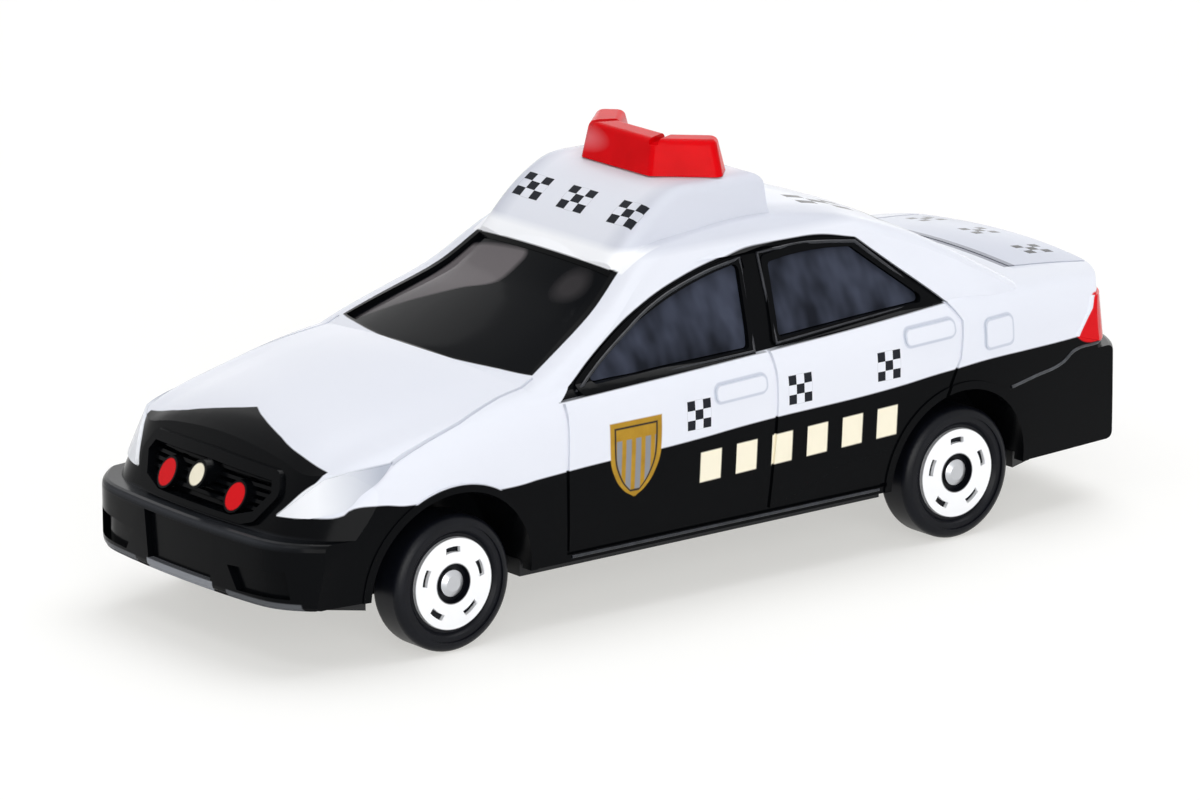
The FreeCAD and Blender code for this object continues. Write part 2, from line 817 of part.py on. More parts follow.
def posts():
    """Two posts of the body casting that pass through the base plate and end in rivet heads."""
    blocks = []
    for name in ("front", "rear"):
        y = front_axle_y + size(f"{name}_post_back")
        low = size("base_height")
        head = Part.makeCone(
            size("post_radius"), size("rivet_radius") - gap, size("rivet_depth") - gap,
            Vector(0, y, low + size("rivet_depth")), UP * -1,
        )
        shaft = Part.makeCylinder(
            size("post_radius"), top_line(y) - wall + size("post_bite") - low - size("rivet_depth"),
            Vector(0, y, low + size("rivet_depth")), UP,
        )
        blocks.append(shaft.fuse(head))
    return blocks


def body_shell():
    outer = body_form(0, size("bumper_round")).fuse(proud_parts())
    outer = outer.cut(engraved_tools()).fuse(body_form(size("line_depth")))
    outer = outer.cut(front_recesses()).fuse(front_fittings())
    below = Part.makeBox(far, far, size("sill_height"), Vector(-far / 2, -far / 2, 0))
    arches = arch_discs(0, size("wheel_face_reach") - size("arch_depth"), far)
    room = body_form(wall).cut(wheel_wells())
    shell = outer.cut([room, below] + side_windows(0) + screens(0) + arches)
    return shell.fuse(posts())


def glazing():
    """One clear moulding inside the cabin, with a pad that fills each window's opening."""
    room = Part.makeBox(far, far, far, Vector(-far / 2, -far / 2, size("glazing_foot_height")))
    dome = cabin(wall + gap).common(room)
    hollow = cabin(wall + gap + size("glass_thickness")).common(room)
    panes = cabin(size("glass_recess")).common(room)
    for opening in side_windows(gap) + screens(gap):
        dome = dome.fuse(panes.common(opening))
    return dome.cut(hollow).Solids[0]


subparts = []


def feature(label, shape):
    item = doc.addObject("Part::Feature", label)
    item.Label = label
    item.Shape = shape
    subparts.append(item)


feature("body_shell", body_shell())
feature("glazing", glazing())


# Pieces made as bodies of sketches and features

def new_body(label):
    body = doc.addObject("PartDesign::Body", label)
    body.Label = label
    subparts.append(body)
    return body


def sketch_on(body, name, role, height=None):
    """An empty sketch on one of the body's own origin planes, lifted off it by an expression."""
    sketch = body.newObject("Sketcher::SketchObject", name)
    plane = [item for item in body.Origin.OriginFeatures if item.Role == role][0]
    sketch.AttachmentSupport = [(plane, "")]
    sketch.MapMode = "FlatFace"
    if height:
        sketch.setExpression("AttachmentOffset.Base.z", height)
    return sketch


def worth(text):
    return float(sheet.evalExpression(text))


def bind(sketch, kind, *rest):
    """A constraint whose last value is an expression."""
    number = sketch.addConstraint(Sketcher.Constraint(kind, *rest[:-1], worth(rest[-1])))
    sketch.setExpression(f"Constraints[{number}]", rest[-1])


def bind_point(sketch, shape, end, across, up):
    bind(sketch, "DistanceX", -1, 1, shape, end, across)
    bind(sketch, "DistanceY", -1, 1, shape, end, up)


def outline(sketch, corners):
    """A closed run of straight lines whose corners are bound to pairs of expressions."""
    places = [Vector(worth(x), worth(y), 0) for x, y in corners]
    first = sketch.GeometryCount
    count = len(corners)
    for i in range(count):
        sketch.addGeometry(Part.LineSegment(places[i], places[(i + 1) % count]))
    for i in range(count):
        following = first + (i + 1) % count
        sketch.addConstraint(Sketcher.Constraint("Coincident", first + i, 2, following, 1))
        bind_point(sketch, first + i, 1, *corners[i])


def round_hole(sketch, across, up, radius):
    circle = sketch.addGeometry(
        Part.Circle(Vector(worth(across), worth(up), 0), UP, worth(radius))
    )
    bind(sketch, "Radius", circle, radius)
    bind_point(sketch, circle, 3, across, up)


def extrusion(kind, body, name, sketch, length, midplane=False, backwards=False):
    item = body.newObject(f"PartDesign::{kind}", name)
    item.Profile = sketch
    item.setExpression("Length", length)
    item.Midplane = midplane
    item.Reversed = backwards
    return item


def pad(*arguments, **settings):
    return extrusion("Pad", *arguments, **settings)


def pocket(*arguments, **settings):
    return extrusion("Pocket", *arguments, **settings)


def revolve(body, name, sketch):
    turned = body.newObject("PartDesign::Revolution", name)
    turned.Profile = sketch
    turned.ReferenceAxis = (sketch, ["H_Axis"])
    turned.Angle = 360
    return turned


def rounded(body, name, base, edge_test, radius):
    """A fillet on those edges of the last feature that pass the test."""
    doc.recompute()
    names = [
        f"Edge{number}" for number, edge in enumerate(base.Shape.Edges, start=1) if edge_test(edge)
    ]
    fillet = body.newObject("PartDesign::Fillet", name)
    fillet.Base = (base, names)
    fillet.setExpression("Radius", radius)
    return fillet


def curved_slot(sketch):
    """An outline between two arcs round the wheel's axis, closed by straight ends."""
    half = "Sizes.slot_length / 2"
    edges = []
    for sign in ("-", "+"):
        radius = f"(Sizes.slot_circle_radius {sign} Sizes.slot_width / 2)"
        rise = f"sqrt({radius}^2 - ({half})^2)"
        right = Vector(worth(half), worth(rise), 0)
        crest = Vector(0, worth(radius), 0)
        left = Vector(-right.x, right.y, 0)
        arc = sketch.addGeometry(Part.Arc(right, crest, left))
        edges.append((arc, right, left, rise))
        sketch.addConstraint(Sketcher.Constraint("Coincident", arc, 3, -1, 1))
    inner, outer = edges
    right_side = sketch.addGeometry(Part.LineSegment(inner[1], outer[1]))
    left_side = sketch.addGeometry(Part.LineSegment(outer[2], inner[2]))
    for first, first_end, second, second_end in (
        (inner[0], 1, right_side, 1), (right_side, 2, outer[0], 1),
        (outer[0], 2, left_side, 1), (left_side, 2, inner[0], 2),
    ):
        sketch.addConstraint(
            Sketcher.Constraint("Coincident", first, first_end, second, second_end)
        )
    bind(sketch, "Radius", inner[0], "Sizes.slot_circle_radius - Sizes.slot_width / 2")
    bind(sketch, "Radius", outer[0], "Sizes.slot_circle_radius + Sizes.slot_width / 2")
    for arc in (inner[0], outer[0]):
        bind(sketch, "DistanceX", -1, 1, arc, 1, half)
        bind(sketch, "DistanceX", arc, 2, -1, 1, half)


FRONT_AXLE = "(Sizes.front_overhang - Sizes.wheelbase - Sizes.rear_overhang) / 2"
REAR_AXLE = "(Sizes.front_overhang + Sizes.wheelbase - Sizes.rear_overhang) / 2"


def behind(size_name):
    return f"({FRONT_AXLE} + Sizes.{size_name})"


def wheel(label, side, axle_place):
    """One moulding: tyre, a disc set back inside it, a hub recess, and slots round the disc."""
    body = new_body(label)
    profile = sketch_on(body, label + "_profile", "XY_Plane")
    bore = "Sizes.axle_radius + Sizes.running_gap"
    face = "Sizes.wheel_width - Sizes.disc_recess"
    groove = "Sizes.sidewall_groove"
    outline(
        profile,
        [
            ("0", bore),
            ("0", "Sizes.wheel_radius"),
            ("Sizes.wheel_width - Sizes.sidewall_groove / 2", "Sizes.wheel_radius"),
            ("Sizes.wheel_width", "Sizes.sidewall_ring + Sizes.sidewall_groove / 2"),
            ("Sizes.wheel_width", "Sizes.sidewall_ring"),
            (f"Sizes.wheel_width - {groove} / 2", "Sizes.sidewall_ring"),
            (f"Sizes.wheel_width - {groove} / 2", f"Sizes.disc_radius + {groove} * 2"),
            (f"{face} - {groove}", f"Sizes.disc_radius + {groove}"),
            (f"{face} - {groove}", "Sizes.disc_radius"),
            (face, "Sizes.disc_radius"),
            (face, "Sizes.hub_radius"),
            (face + " - Sizes.hub_depth", "Sizes.hub_radius"),
            (face + " - Sizes.hub_depth", bore),
        ],
    )
    turned = revolve(body, label + "_turned", profile)
    tread_radius = size("wheel_radius")
    rounded(
        body, label + "_shoulders", turned,
        lambda edge: abs(edge.BoundBox.YLength - 2 * tread_radius) < gap
        and edge.BoundBox.XLength < gap,
        "Sizes.tyre_round",
    )
    slot = sketch_on(body, label + "_slot", "YZ_Plane", face)
    curved_slot(slot)
    cut = pocket(body, label + "_slot_cut", slot, "Sizes.slot_depth")
    doc.recompute()
    slots = body.newObject("PartDesign::PolarPattern", label + "_slots")
    slots.Originals = [cut]
    slots.Axis = (profile, ["H_Axis"])
    slots.Angle = 360
    slots.setExpression("Occurrences", "Sizes.slot_count")
    body.Tip = slots
    inner_face = "Sizes.wheel_face_reach + Sizes.disc_recess - Sizes.wheel_width"
    if side < 0:
        body.Placement.Rotation = FreeCAD.Rotation(UP, 180)
        inner_face = f"-({inner_face})"
    body.setExpression("Placement.Base.x", inner_face)
    body.setExpression("Placement.Base.y", axle_place)
    body.setExpression("Placement.Base.z", "Sizes.wheel_radius")


def axle(label, place):
    """A steel pin with a domed head in each hub recess."""
    body = new_body(label)
    profile = sketch_on(body, label + "_profile", "XY_Plane")
    seat = "(Sizes.wheel_face_reach - Sizes.hub_depth + Sizes.running_gap)"
    tip = f"({seat} + Sizes.axle_head_length)"
    outline(
        profile,
        [
            ("-" + tip, "0"),
            ("-" + tip, "Sizes.axle_head_flat"),
            (f"-{tip} + Sizes.axle_head_chamfer", "Sizes.axle_head_radius"),
            ("-" + seat, "Sizes.axle_head_radius"),
            ("-" + seat, "Sizes.axle_radius"),
            (seat, "Sizes.axle_radius"),
            (seat, "Sizes.axle_head_radius"),
            (f"{tip} - Sizes.axle_head_chamfer", "Sizes.axle_head_radius"),
            (tip, "Sizes.axle_head_flat"),
            (tip, "0"),
        ],
    )
    revolve(body, label + "_turned", profile)
    body.setExpression("Placement.Base.y", place)
    body.setExpression("Placement.Base.z", "Sizes.wheel_radius")


def base_plate():
    """The black plastic floor inside the sills, narrow between the wheels, with a bearer for each axle."""
    body = new_body("base_plate")
    plan = sketch_on(body, "base_plan", "XY_Plane", "Sizes.base_height")
    wide, narrow = "Sizes.base_half_width", "Sizes.base_narrow_half_width"
    half_length = "(Sizes.front_overhang + Sizes.wheelbase + Sizes.rear_overhang) / 2"
    stops = [
        f"-{half_length} + Sizes.base_end_inset",
        FRONT_AXLE + " - Sizes.front_arch_radius",
        FRONT_AXLE + " + Sizes.front_arch_radius",
        REAR_AXLE + " - Sizes.rear_arch_radius",
        REAR_AXLE + " + Sizes.rear_arch_radius",
        f"{half_length} - Sizes.base_end_inset",
    ]
    end_width = "Sizes.base_end_half_width"
    right_side = [
        (end_width, stops[0]), (wide, stops[1]), (narrow, stops[1]), (narrow, stops[2]),
        (wide, stops[2]), (wide, stops[3]), (narrow, stops[3]), (narrow, stops[4]),
        (wide, stops[4]), (end_width, stops[5]),
    ]
    left_side = [("-" + x, y) for x, y in reversed(right_side)]
    outline(plan, right_side + left_side)
    for back in ("front_post_back", "rear_post_back"):
        round_hole(plan, "0", behind(back), "Sizes.post_radius + Sizes.fit_gap")
    pad(body, "base_slab", plan, "Sizes.base_thickness")
    for name, place in (("front", FRONT_AXLE), ("rear", REAR_AXLE)):
        bearer = sketch_on(body, f"bearer_{name}", "XY_Plane", "Sizes.base_height")
        low = f"{place} - Sizes.bearer_half_length"
        high = f"{place} + Sizes.bearer_half_length"
        outline(
            bearer, [("-" + narrow, low), (narrow, low), (narrow, high), ("-" + narrow, high)]
        )
        pad(
            body, f"bearer_{name}_block", bearer,
            "Sizes.wheel_radius + Sizes.axle_radius + Sizes.base_thickness - Sizes.base_height",
        )
        bore = sketch_on(body, f"bearer_{name}_bore", "YZ_Plane")
        round_hole(bore, place, "Sizes.wheel_radius", "Sizes.axle_radius + Sizes.running_gap")
        pocket(body, f"bearer_{name}_hole", bore, "Sizes.base_half_width * 2", midplane=True)
    seats = sketch_on(body, "rivet_seats", "XY_Plane", "Sizes.base_height")
    for back in ("front_post_back", "rear_post_back"):
        round_hole(seats, "0", behind(back), "Sizes.rivet_radius")
    pocket(body, "rivet_recesses", seats, "Sizes.rivet_depth", backwards=True)


def light_bar():
    """A clear red moulding, flat across the front, swept back at both sides and hollow from below."""
    body = new_body("light_bar")
    plan = sketch_on(body, "bar_plan", "XY_Plane", "Sizes.bar_seat_height")
    front = behind("bar_front_back")
    sweep = "(Sizes.bar_sweep * 1 deg)"
    flat, reach, depth = "Sizes.bar_flat_reach", "Sizes.bar_reach", "Sizes.bar_depth"
    bar_wall = "Sizes.bar_wall"
    tip_y = f"({front} + ({reach} - {flat}) * tan{sweep})"
    back_x = f"({reach} - {depth} * sin{sweep})"
    back_y = f"({tip_y} + {depth} * cos{sweep})"
    inner_y = f"({front} + {depth})"
    inner_x = f"({back_x} - ({back_y} - {inner_y}) / tan{sweep})"
    half = [(flat, front), (reach, tip_y), (back_x, back_y), (inner_x, inner_y)]
    outline(plan, half + [("-" + x, y) for x, y in reversed(half)])
    block = pad(body, "bar_block", plan, "Sizes.bar_height")
    block.setExpression("TaperAngle", "-Sizes.bar_lean")
    tall, wide = size("bar_height"), size("bar_reach")
    tips = rounded(
        body, "bar_tips", block,
        lambda edge: edge.BoundBox.ZLength > tall - gap and abs(edge.BoundBox.Center.x) > wide / 2,
        "Sizes.bar_tip_round",
    )
    top_z = size("bar_seat_height") + tall
    rounded(body, "bar_edges", tips, lambda edge: edge.BoundBox.ZMin > top_z - gap, "Sizes.bar_round")
    for sign in ("-", ""):
        notch = sketch_on(
            body, f"notch{sign and '_right'}", "XY_Plane", "Sizes.bar_seat_height + Sizes.bar_height"
        )
        run = f"({inner_x} - {flat})"
        first_x, first_y = f"({flat} - {run})", f"({front} - {depth})"
        last_x, last_y = f"({inner_x} + {run})", f"({inner_y} + {depth})"
        half_gap = "Sizes.bar_notch"
        outline(
            notch,
            [
                (f"{sign}({first_x} - {half_gap})", first_y), (f"{sign}({first_x} + {half_gap})", first_y),
                (f"{sign}({last_x} + {half_gap})", last_y), (f"{sign}({last_x} - {half_gap})", last_y),
            ],
        )
        pocket(body, f"notch_cut{sign and '_right'}", notch, "Sizes.bar_notch")
    hollow = sketch_on(body, "bar_hollow", "XY_Plane", "Sizes.bar_seat_height")
    low_front = f"({front} + {bar_wall} * 2)"
    low_back = f"({inner_y} - {bar_wall} * 2)"
    outline(
        hollow,
        [
            (f"{flat} - {bar_wall}", low_front), (f"{inner_x} - {bar_wall}", low_back),
            (f"-({inner_x} - {bar_wall})", low_back), (f"-({flat} - {bar_wall})", low_front),
        ],
    )
    pocket(body, "bar_centre_hollow", hollow, "Sizes.bar_height - Sizes.bar_roof", backwards=True)


def interior():
    """Cabin floor with two front seats, a rear bench, a dashboard and a steering wheel, one moulding."""
    body = new_body("interior")
    floor = sketch_on(body, "floor_plan", "XY_Plane", "Sizes.base_height + Sizes.base_thickness")
    front, rear = behind("floor_front_back"), behind("floor_rear_back")
    wide = "Sizes.floor_half_width"
    outline(floor, [("-" + wide, front), (wide, front), (wide, rear), ("-" + wide, rear)])
    pad(body, "floor_slab", floor, "Sizes.floor_thickness")
    floor_z = "Sizes.base_height + Sizes.base_thickness"
    dash = sketch_on(body, "dash_side", "YZ_Plane")
    outline(
        dash,
        [
            (front, floor_z),
            (front + " + Sizes.dash_length", floor_z),
            (front + " + Sizes.dash_length", "Sizes.dash_height"),
            (front, "Sizes.dash_height - Sizes.floor_thickness"),
        ],
    )
    pad(body, "dash_block", dash, "2 * Sizes.floor_half_width", midplane=True)
    for name, offset, width, hip_name in (
        ("seat_left", "Sizes.seat_middle", "Sizes.seat_width", "front_seat_back"),
        ("seat_right", "-Sizes.seat_middle", "Sizes.seat_width", "front_seat_back"),
        ("bench", "0", "Sizes.bench_width", "rear_seat_back"),
    ):
        hip = behind(hip_name)
        side = sketch_on(body, name + "_side", "YZ_Plane", offset)
        outline(
            side,
            [
                (f"{hip} - Sizes.cushion_length", floor_z),
                (f"{hip} + Sizes.back_thickness", floor_z),
                (f"{hip} + Sizes.back_thickness + Sizes.back_lean", "Sizes.seat_back_height"),
                (f"{hip} + Sizes.back_lean", "Sizes.seat_back_height"),
                (hip, "Sizes.cushion_height"),
                (f"{hip} - Sizes.cushion_length", "Sizes.cushion_height + Sizes.running_gap * 6"),
            ],
        )
        pad(body, name + "_block", side, width, midplane=True)
    steering(body, f"({front} + Sizes.dash_length)")


def steering(body, dash_rear):
    """A column out of the dashboard, with a rimmed wheel and one spoke across it."""
    middle, height = "-Sizes.seat_middle", "Sizes.steering_height"
    rim, radius = "Sizes.steering_rim", "Sizes.steering_radius"
    wheel_place = f"-({dash_rear} + Sizes.steering_column)"
    column = sketch_on(body, "column_end", "XZ_Plane", wheel_place)
    round_hole(column, middle, height, rim + " * 2")
    pad(body, "column", column, f"Sizes.steering_column + {rim}")
    spoke = sketch_on(body, "spoke_outline", "XZ_Plane", wheel_place)
    outline(
        spoke,
        [
            (f"{middle} - {radius}", f"{height} - {rim}"), (f"{middle} + {radius}", f"{height} - {rim}"),
            (f"{middle} + {radius}", f"{height} + {rim}"), (f"{middle} - {radius}", f"{height} + {rim}"),
        ],
    )
    pad(body, "spoke", spoke, rim)
    ring = sketch_on(body, "rim_outline", "XZ_Plane", wheel_place)
    round_hole(ring, middle, height, f"{radius} + {rim}")
    round_hole(ring, middle, height, f"{radius} - {rim}")
    pad(body, "rim", ring, rim + " * 2", midplane=True)


for end_name, place in (("front", FRONT_AXLE), ("rear", REAR_AXLE)):
    axle(f"axle_{end_name}", place)
    wheel(f"wheel_{end_name}_left", 1, place)
    wheel(f"wheel_{end_name}_right", -1, place)
base_plate()
light_bar()
interior()

doc.recompute()
for item in doc.Objects:
    assert not {"Invalid", "Error"} & set(item.State), f"{item.Name} failed: {item.State}"
for item in subparts:
    shape = item.Shape
    assert not shape.isNull() and shape.isValid(), f"{item.Label} has no valid shape"

os.makedirs("parts", exist_ok=True)
for item in subparts:
    item.Shape.exportStep(f"parts/{item.Label}.step")
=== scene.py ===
import bpy
import math
from collections import namedtuple
from mathutils import Matrix, Vector
from mathutils.bvhtree import BVHTree

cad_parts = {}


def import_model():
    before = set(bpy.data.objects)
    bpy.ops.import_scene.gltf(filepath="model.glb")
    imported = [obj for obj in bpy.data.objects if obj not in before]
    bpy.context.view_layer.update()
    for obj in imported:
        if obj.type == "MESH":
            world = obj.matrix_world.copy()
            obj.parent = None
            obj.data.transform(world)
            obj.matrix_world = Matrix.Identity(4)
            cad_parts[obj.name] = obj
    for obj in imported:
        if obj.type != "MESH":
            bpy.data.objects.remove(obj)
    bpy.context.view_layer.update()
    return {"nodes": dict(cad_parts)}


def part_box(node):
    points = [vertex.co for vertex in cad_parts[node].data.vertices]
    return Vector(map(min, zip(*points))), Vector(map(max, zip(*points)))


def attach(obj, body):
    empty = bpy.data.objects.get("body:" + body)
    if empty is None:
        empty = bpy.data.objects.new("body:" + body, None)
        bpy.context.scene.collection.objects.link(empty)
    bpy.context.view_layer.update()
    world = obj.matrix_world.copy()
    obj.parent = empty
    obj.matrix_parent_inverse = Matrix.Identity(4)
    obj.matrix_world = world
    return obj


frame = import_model()

MM = 0.001


def middle(node):
    low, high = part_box(node)
    return (Vector(low) + Vector(high)) / 2


# Places are in millimetres: back from the front axle, height above the floor, across towards the
# car's left, and side, which is across without its sign.
FRONT = middle("wheel_front_left")
AXLE_Y = FRONT.y
AXLE_HEIGHT = FRONT.z / MM
WHEELBASE = (middle("wheel_rear_left").y - AXLE_Y) / MM
TAIL_BACK = (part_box("body_shell")[1][1] - AXLE_Y) / MM


def linear(text):
    """An sRGB hex value as a linear colour."""
    channels = [int(text[i:i + 2], 16) / 255 for i in (0, 2, 4)]
    bent = [c / 12.92 if c <= 0.04045 else ((c + 0.055) / 1.055) ** 2.4 for c in channels]
    return (*bent, 1.0)


# ---- shader helpers ----

def add(tree, kind, inputs=(), **settings):
    """A node of the kind, with its settings, and each input a value or another socket."""
    node = tree.nodes.new(kind)
    for name, value in settings.items():
        setattr(node, name, value)
    pairs = inputs.items() if isinstance(inputs, dict) else enumerate(inputs)
    for key, value in pairs:
        if isinstance(value, bpy.types.NodeSocket):
            tree.links.new(value, node.inputs[key])
        else:
            node.inputs[key].default_value = value
    return node


def calc(tree, operation, *values):
    return add(tree, "ShaderNodeMath", values, operation=operation).outputs[0]


def joined(tree, operation, masks):
    result, *others = masks
    for mask in others:
        result = calc(tree, operation, result, mask)
    return result


def both(tree, *masks):
    """1 where all the masks are."""
    return joined(tree, "MULTIPLY", masks)


def either(tree, *masks):
    """1 where any of the masks is."""
    return joined(tree, "MAXIMUM", masks)


def fade(tree, value, start, end):
    """From 0 at the start to 1 at the end, which may be the lower of the two."""
    inputs = {"Value": value, "From Min": min(start, end), "From Max": max(start, end)}
    if start > end:
        inputs.update({"To Min": 1.0, "To Max": 0.0})
    return add(tree, "ShaderNodeMapRange", inputs).outputs[0]


SOFT_EDGE = 0.05


def below(tree, value, limit):
    """1 where value is under limit, with a soft step."""
    return fade(tree, calc(tree, "SUBTRACT", limit, value), -SOFT_EDGE, SOFT_EDGE)


def above(tree, value, limit):
    return calc(tree, "SUBTRACT", 1.0, below(tree, value, limit))


def between(tree, value, low, high):
    return both(tree, above(tree, value, low), below(tree, value, high))


def curve(tree, value, points):
    """A smooth line through the points, as a function of value."""
    xs, ys = zip(*points)
    share = fade(tree, value, xs[0], xs[-1])
    node = add(tree, "ShaderNodeFloatCurve", {"Value": share})
    spline = node.mapping.curves[0].points
    low, high = min(ys), max(ys) + 1e-6
    shares = [((x - xs[0]) / (xs[-1] - xs[0]), (y - low) / (high - low)) for x, y in points]
    spline[0].location, spline[1].location = shares[0], shares[-1]
    for place in shares[1:-1]:
        spline.new(*place)
    for point in spline:
        point.handle_type = "AUTO_CLAMPED"
    node.mapping.update()
    return calc(tree, "MULTIPLY_ADD", node.outputs[0], high - low, low)


def blend(tree, factor, first, second):
    """From the first colour to the second as the factor goes from 0 to 1."""
    inputs = {0: factor, 6: first, 7: second}
    return add(tree, "ShaderNodeMix", inputs, data_type="RGBA").outputs[2]


def material(name, **sockets):
    """A new material, its tree and its shader, whose own sockets are set by name."""
    made = bpy.data.materials.new(name)
    made.use_nodes = True
    tree = made.node_tree
    shader = tree.nodes["Principled BSDF"]
    for key, value in sockets.items():
        shader.inputs[key.replace("_", " ")].default_value = value
    return made, tree, shader


def paint(tree, shader, color):
    tree.links.new(color, shader.inputs["Base Color"])


def object_place(tree):
    return add(tree, "ShaderNodeTexCoord").outputs["Object"]


Places = namedtuple("Places", "across back height side")


def places(tree):
    split = add(tree, "ShaderNodeSeparateXYZ", [object_place(tree)]).outputs
    across = calc(tree, "DIVIDE", split[0], MM)
    back = calc(tree, "MULTIPLY_ADD", split[1], 1 / MM, -AXLE_Y / MM)
    height = calc(tree, "DIVIDE", split[2], MM)
    return Places(across, back, height, calc(tree, "ABSOLUTE", across))


GRAIN_DEPTH = 0.02 * MM


def speckle(tree, shader, scale, bump, smoothest, roughest):
    """Fine unevenness: a noise that drives the roughness between two values, and a faint bump.

    A scale of 1000 gives grains about a millimetre wide, coarse enough to show.
    """
    noise = add(
        tree, "ShaderNodeTexNoise",
        {"Vector": object_place(tree), "Scale": scale, "Detail": 4.0, "Roughness": 0.55},
    ).outputs[0]
    rough = add(
        tree, "ShaderNodeMapRange", {"Value": noise, "To Min": smoothest, "To Max": roughest}
    ).outputs[0]
    tree.links.new(rough, shader.inputs["Roughness"])
    lifted = add(
        tree, "ShaderNodeBump", {"Strength": bump, "Distance": GRAIN_DEPTH, "Height": noise}
    ).outputs[0]
    tree.links.new(lifted, shader.inputs["Normal"])
    return noise


def ring_reach(tree, first, second, first_middle=0.0, second_middle=0.0):
    """Distance from a middle, in the plane of two places."""
    run = calc(tree, "SUBTRACT", first, first_middle)
    rise = calc(tree, "SUBTRACT", second, second_middle)
    squares = [calc(tree, "MULTIPLY", leg, leg) for leg in (run, rise)]
    return calc(tree, "SQRT", calc(tree, "ADD", *squares))


def dress(node, made):
    mesh = frame["nodes"][node].data
    mesh.materials.clear()
    mesh.materials.append(made)


# ---- enamel: glossy white over the top, black below, with the printed marks ----

WHITE = "E1E3EA"
SHADED_WHITE = "DBDEE7"
# painted shade round the raised door handles, and the fuel lid's joint
OUTLINE_SHADE = "C2C7D3"
LID_LINE = "8D909B"
# painted highlights on the bumper's lips and ledge
LIP_HIGHLIGHT = "85888D"
LEDGE_HIGHLIGHT = "2E3034"
# painted shade on the trunk lid and the pedestal's flanks, painted light at the ramp's foot
LID_SHADE_WHITE = "C6CAD6"
FLANK_SHADE_WHITE = "CDD0DA"
FOOT_LIT_WHITE = "F4F5F8"
BLACK = "060709"
CREAM = "EFE8D2"
INK = "23252B"
SILVER = "E9EBEF"
# painted shade towards the headlamps' rear
LAMP_SHADE = "A9AEBA"
GOLD = "BC9434"
DEEP_GOLD = "8F6B22"
GREY = "85878C"
LAMP_RED = "D2151C"

# what is at least this far out is the car's side
ON_SIDE = 12.0
# what is at least this far ahead of the front axle is the nose
NOSE_BACK = -9.0

# (back, height) of the line between black and white along the sides
WAIST = [
    (-17, 10.7), (-10, 10.7), (-8.4, 10.95), (-6.8, 11.5), (-4, 11.2), (4.5, 11.05), (7, 11.2),
    (12.5, 11.45), (18, 11.58), (28, 12.1), (34.5, 12.25), (38, 12.4), (44, 12.85), (50, 13.1),
    (54, 13.1), (58, 13.15), (62, 12.9),
]
# (back, radius) of the black round each wheel arch, and how far out it starts
ARCHES = ((0.0, 7.15), (WHEELBASE, 6.9))
ARCH_SIDE = 8.0

# the pointed black on the nose: (side, back) of its rear edge, (height, side) of its outer edges
CHEVRON = [(0, -6.65), (1.37, -7.24), (4.61, -8.06), (7.47, -8.45), (10.6, -8.3)]
LAMP_INNER = [(10.5, 8.4), (12.1, 9.6), (13.2, 10.35), (15, 10.9)]

# the band round the side windows: (back, height) of its lower and upper edges, (back, height) at
# both ends of its straight rear edge, how far back it starts and ends, and how far out it starts
BAND_LOW = [(9.35, 16.1), (27.85, 16.62), (44.6, 17.5)]
BAND_HIGH = [
    (9.35, 16.13), (13.9, 18.8), (18.3, 20.78), (22.5, 22.12), (26.5, 22.95), (30, 23.35),
    (34, 23.35), (38.6, 22.67), (44.6, 21.0),
]
BAND_PILLAR = ((38.6, 22.67), (44.6, 17.55))
BAND_ENDS = (9.2, 44.7)
BAND_SIDE = 7.0

# the thin borders of the windscreen and the rear window: how far back each starts and how that
# bows, how far back it ends and how that bows, its top's height, (back, side) of its side edges
SCREENS = (
    (6.6, 0.0176, 18.9, 0.0, 23.28, [(6.6, 11.5), (8.8, 11.05), (18.6, 8.15)]),
    (43.5, -0.0135, 53.1, -0.0152, 24.0, [(43.1, 7.5), (53, 9.95)]),
)
SCREEN_LOW = 16.2
SCREEN_HIGH_BOW = -0.006


def black_areas(tree, at):
    """Lower sides, wheel arches, pointed nose, window bands and the screens' borders."""
    areas = [below(tree, at.height, curve(tree, at.back, WAIST))]
    for axle_back, radius in ARCHES:
        reach = ring_reach(tree, at.back, at.height, axle_back, AXLE_HEIGHT)
        areas.append(both(tree, below(tree, reach, radius), above(tree, at.side, ARCH_SIDE)))

    chevron = curve(tree, at.side, CHEVRON)
    lamp_inner = curve(tree, at.height, LAMP_INNER)
    areas.append(both(tree, below(tree, at.back, chevron), below(tree, at.side, lamp_inner)))

    (top_back, top_height), (foot_back, foot_height) = BAND_PILLAR
    slope = (foot_height - top_height) / (foot_back - top_back)
    pillar = calc(tree, "MULTIPLY_ADD", at.back, slope, top_height - top_back * slope)
    low, high = curve(tree, at.back, BAND_LOW), curve(tree, at.back, BAND_HIGH)
    areas.append(
        both(
            tree, between(tree, at.height, low, high), below(tree, at.height, pillar),
            between(tree, at.back, *BAND_ENDS), above(tree, at.side, BAND_SIDE),
        )
    )

    squared = calc(tree, "MULTIPLY", at.side, at.side)
    for start, start_bow, end, end_bow, top, side_edge in SCREENS:
        first = calc(tree, "MULTIPLY_ADD", squared, start_bow, start)
        last = calc(tree, "MULTIPLY_ADD", squared, end_bow, end)
        crest = calc(tree, "MULTIPLY_ADD", squared, SCREEN_HIGH_BOW, top)
        areas.append(
            both(
                tree, between(tree, at.back, first, last),
                below(tree, at.side, curve(tree, at.back, side_edge)),
                between(tree, at.height, SCREEN_LOW, crest),
            )
        )
    return either(tree, *areas)


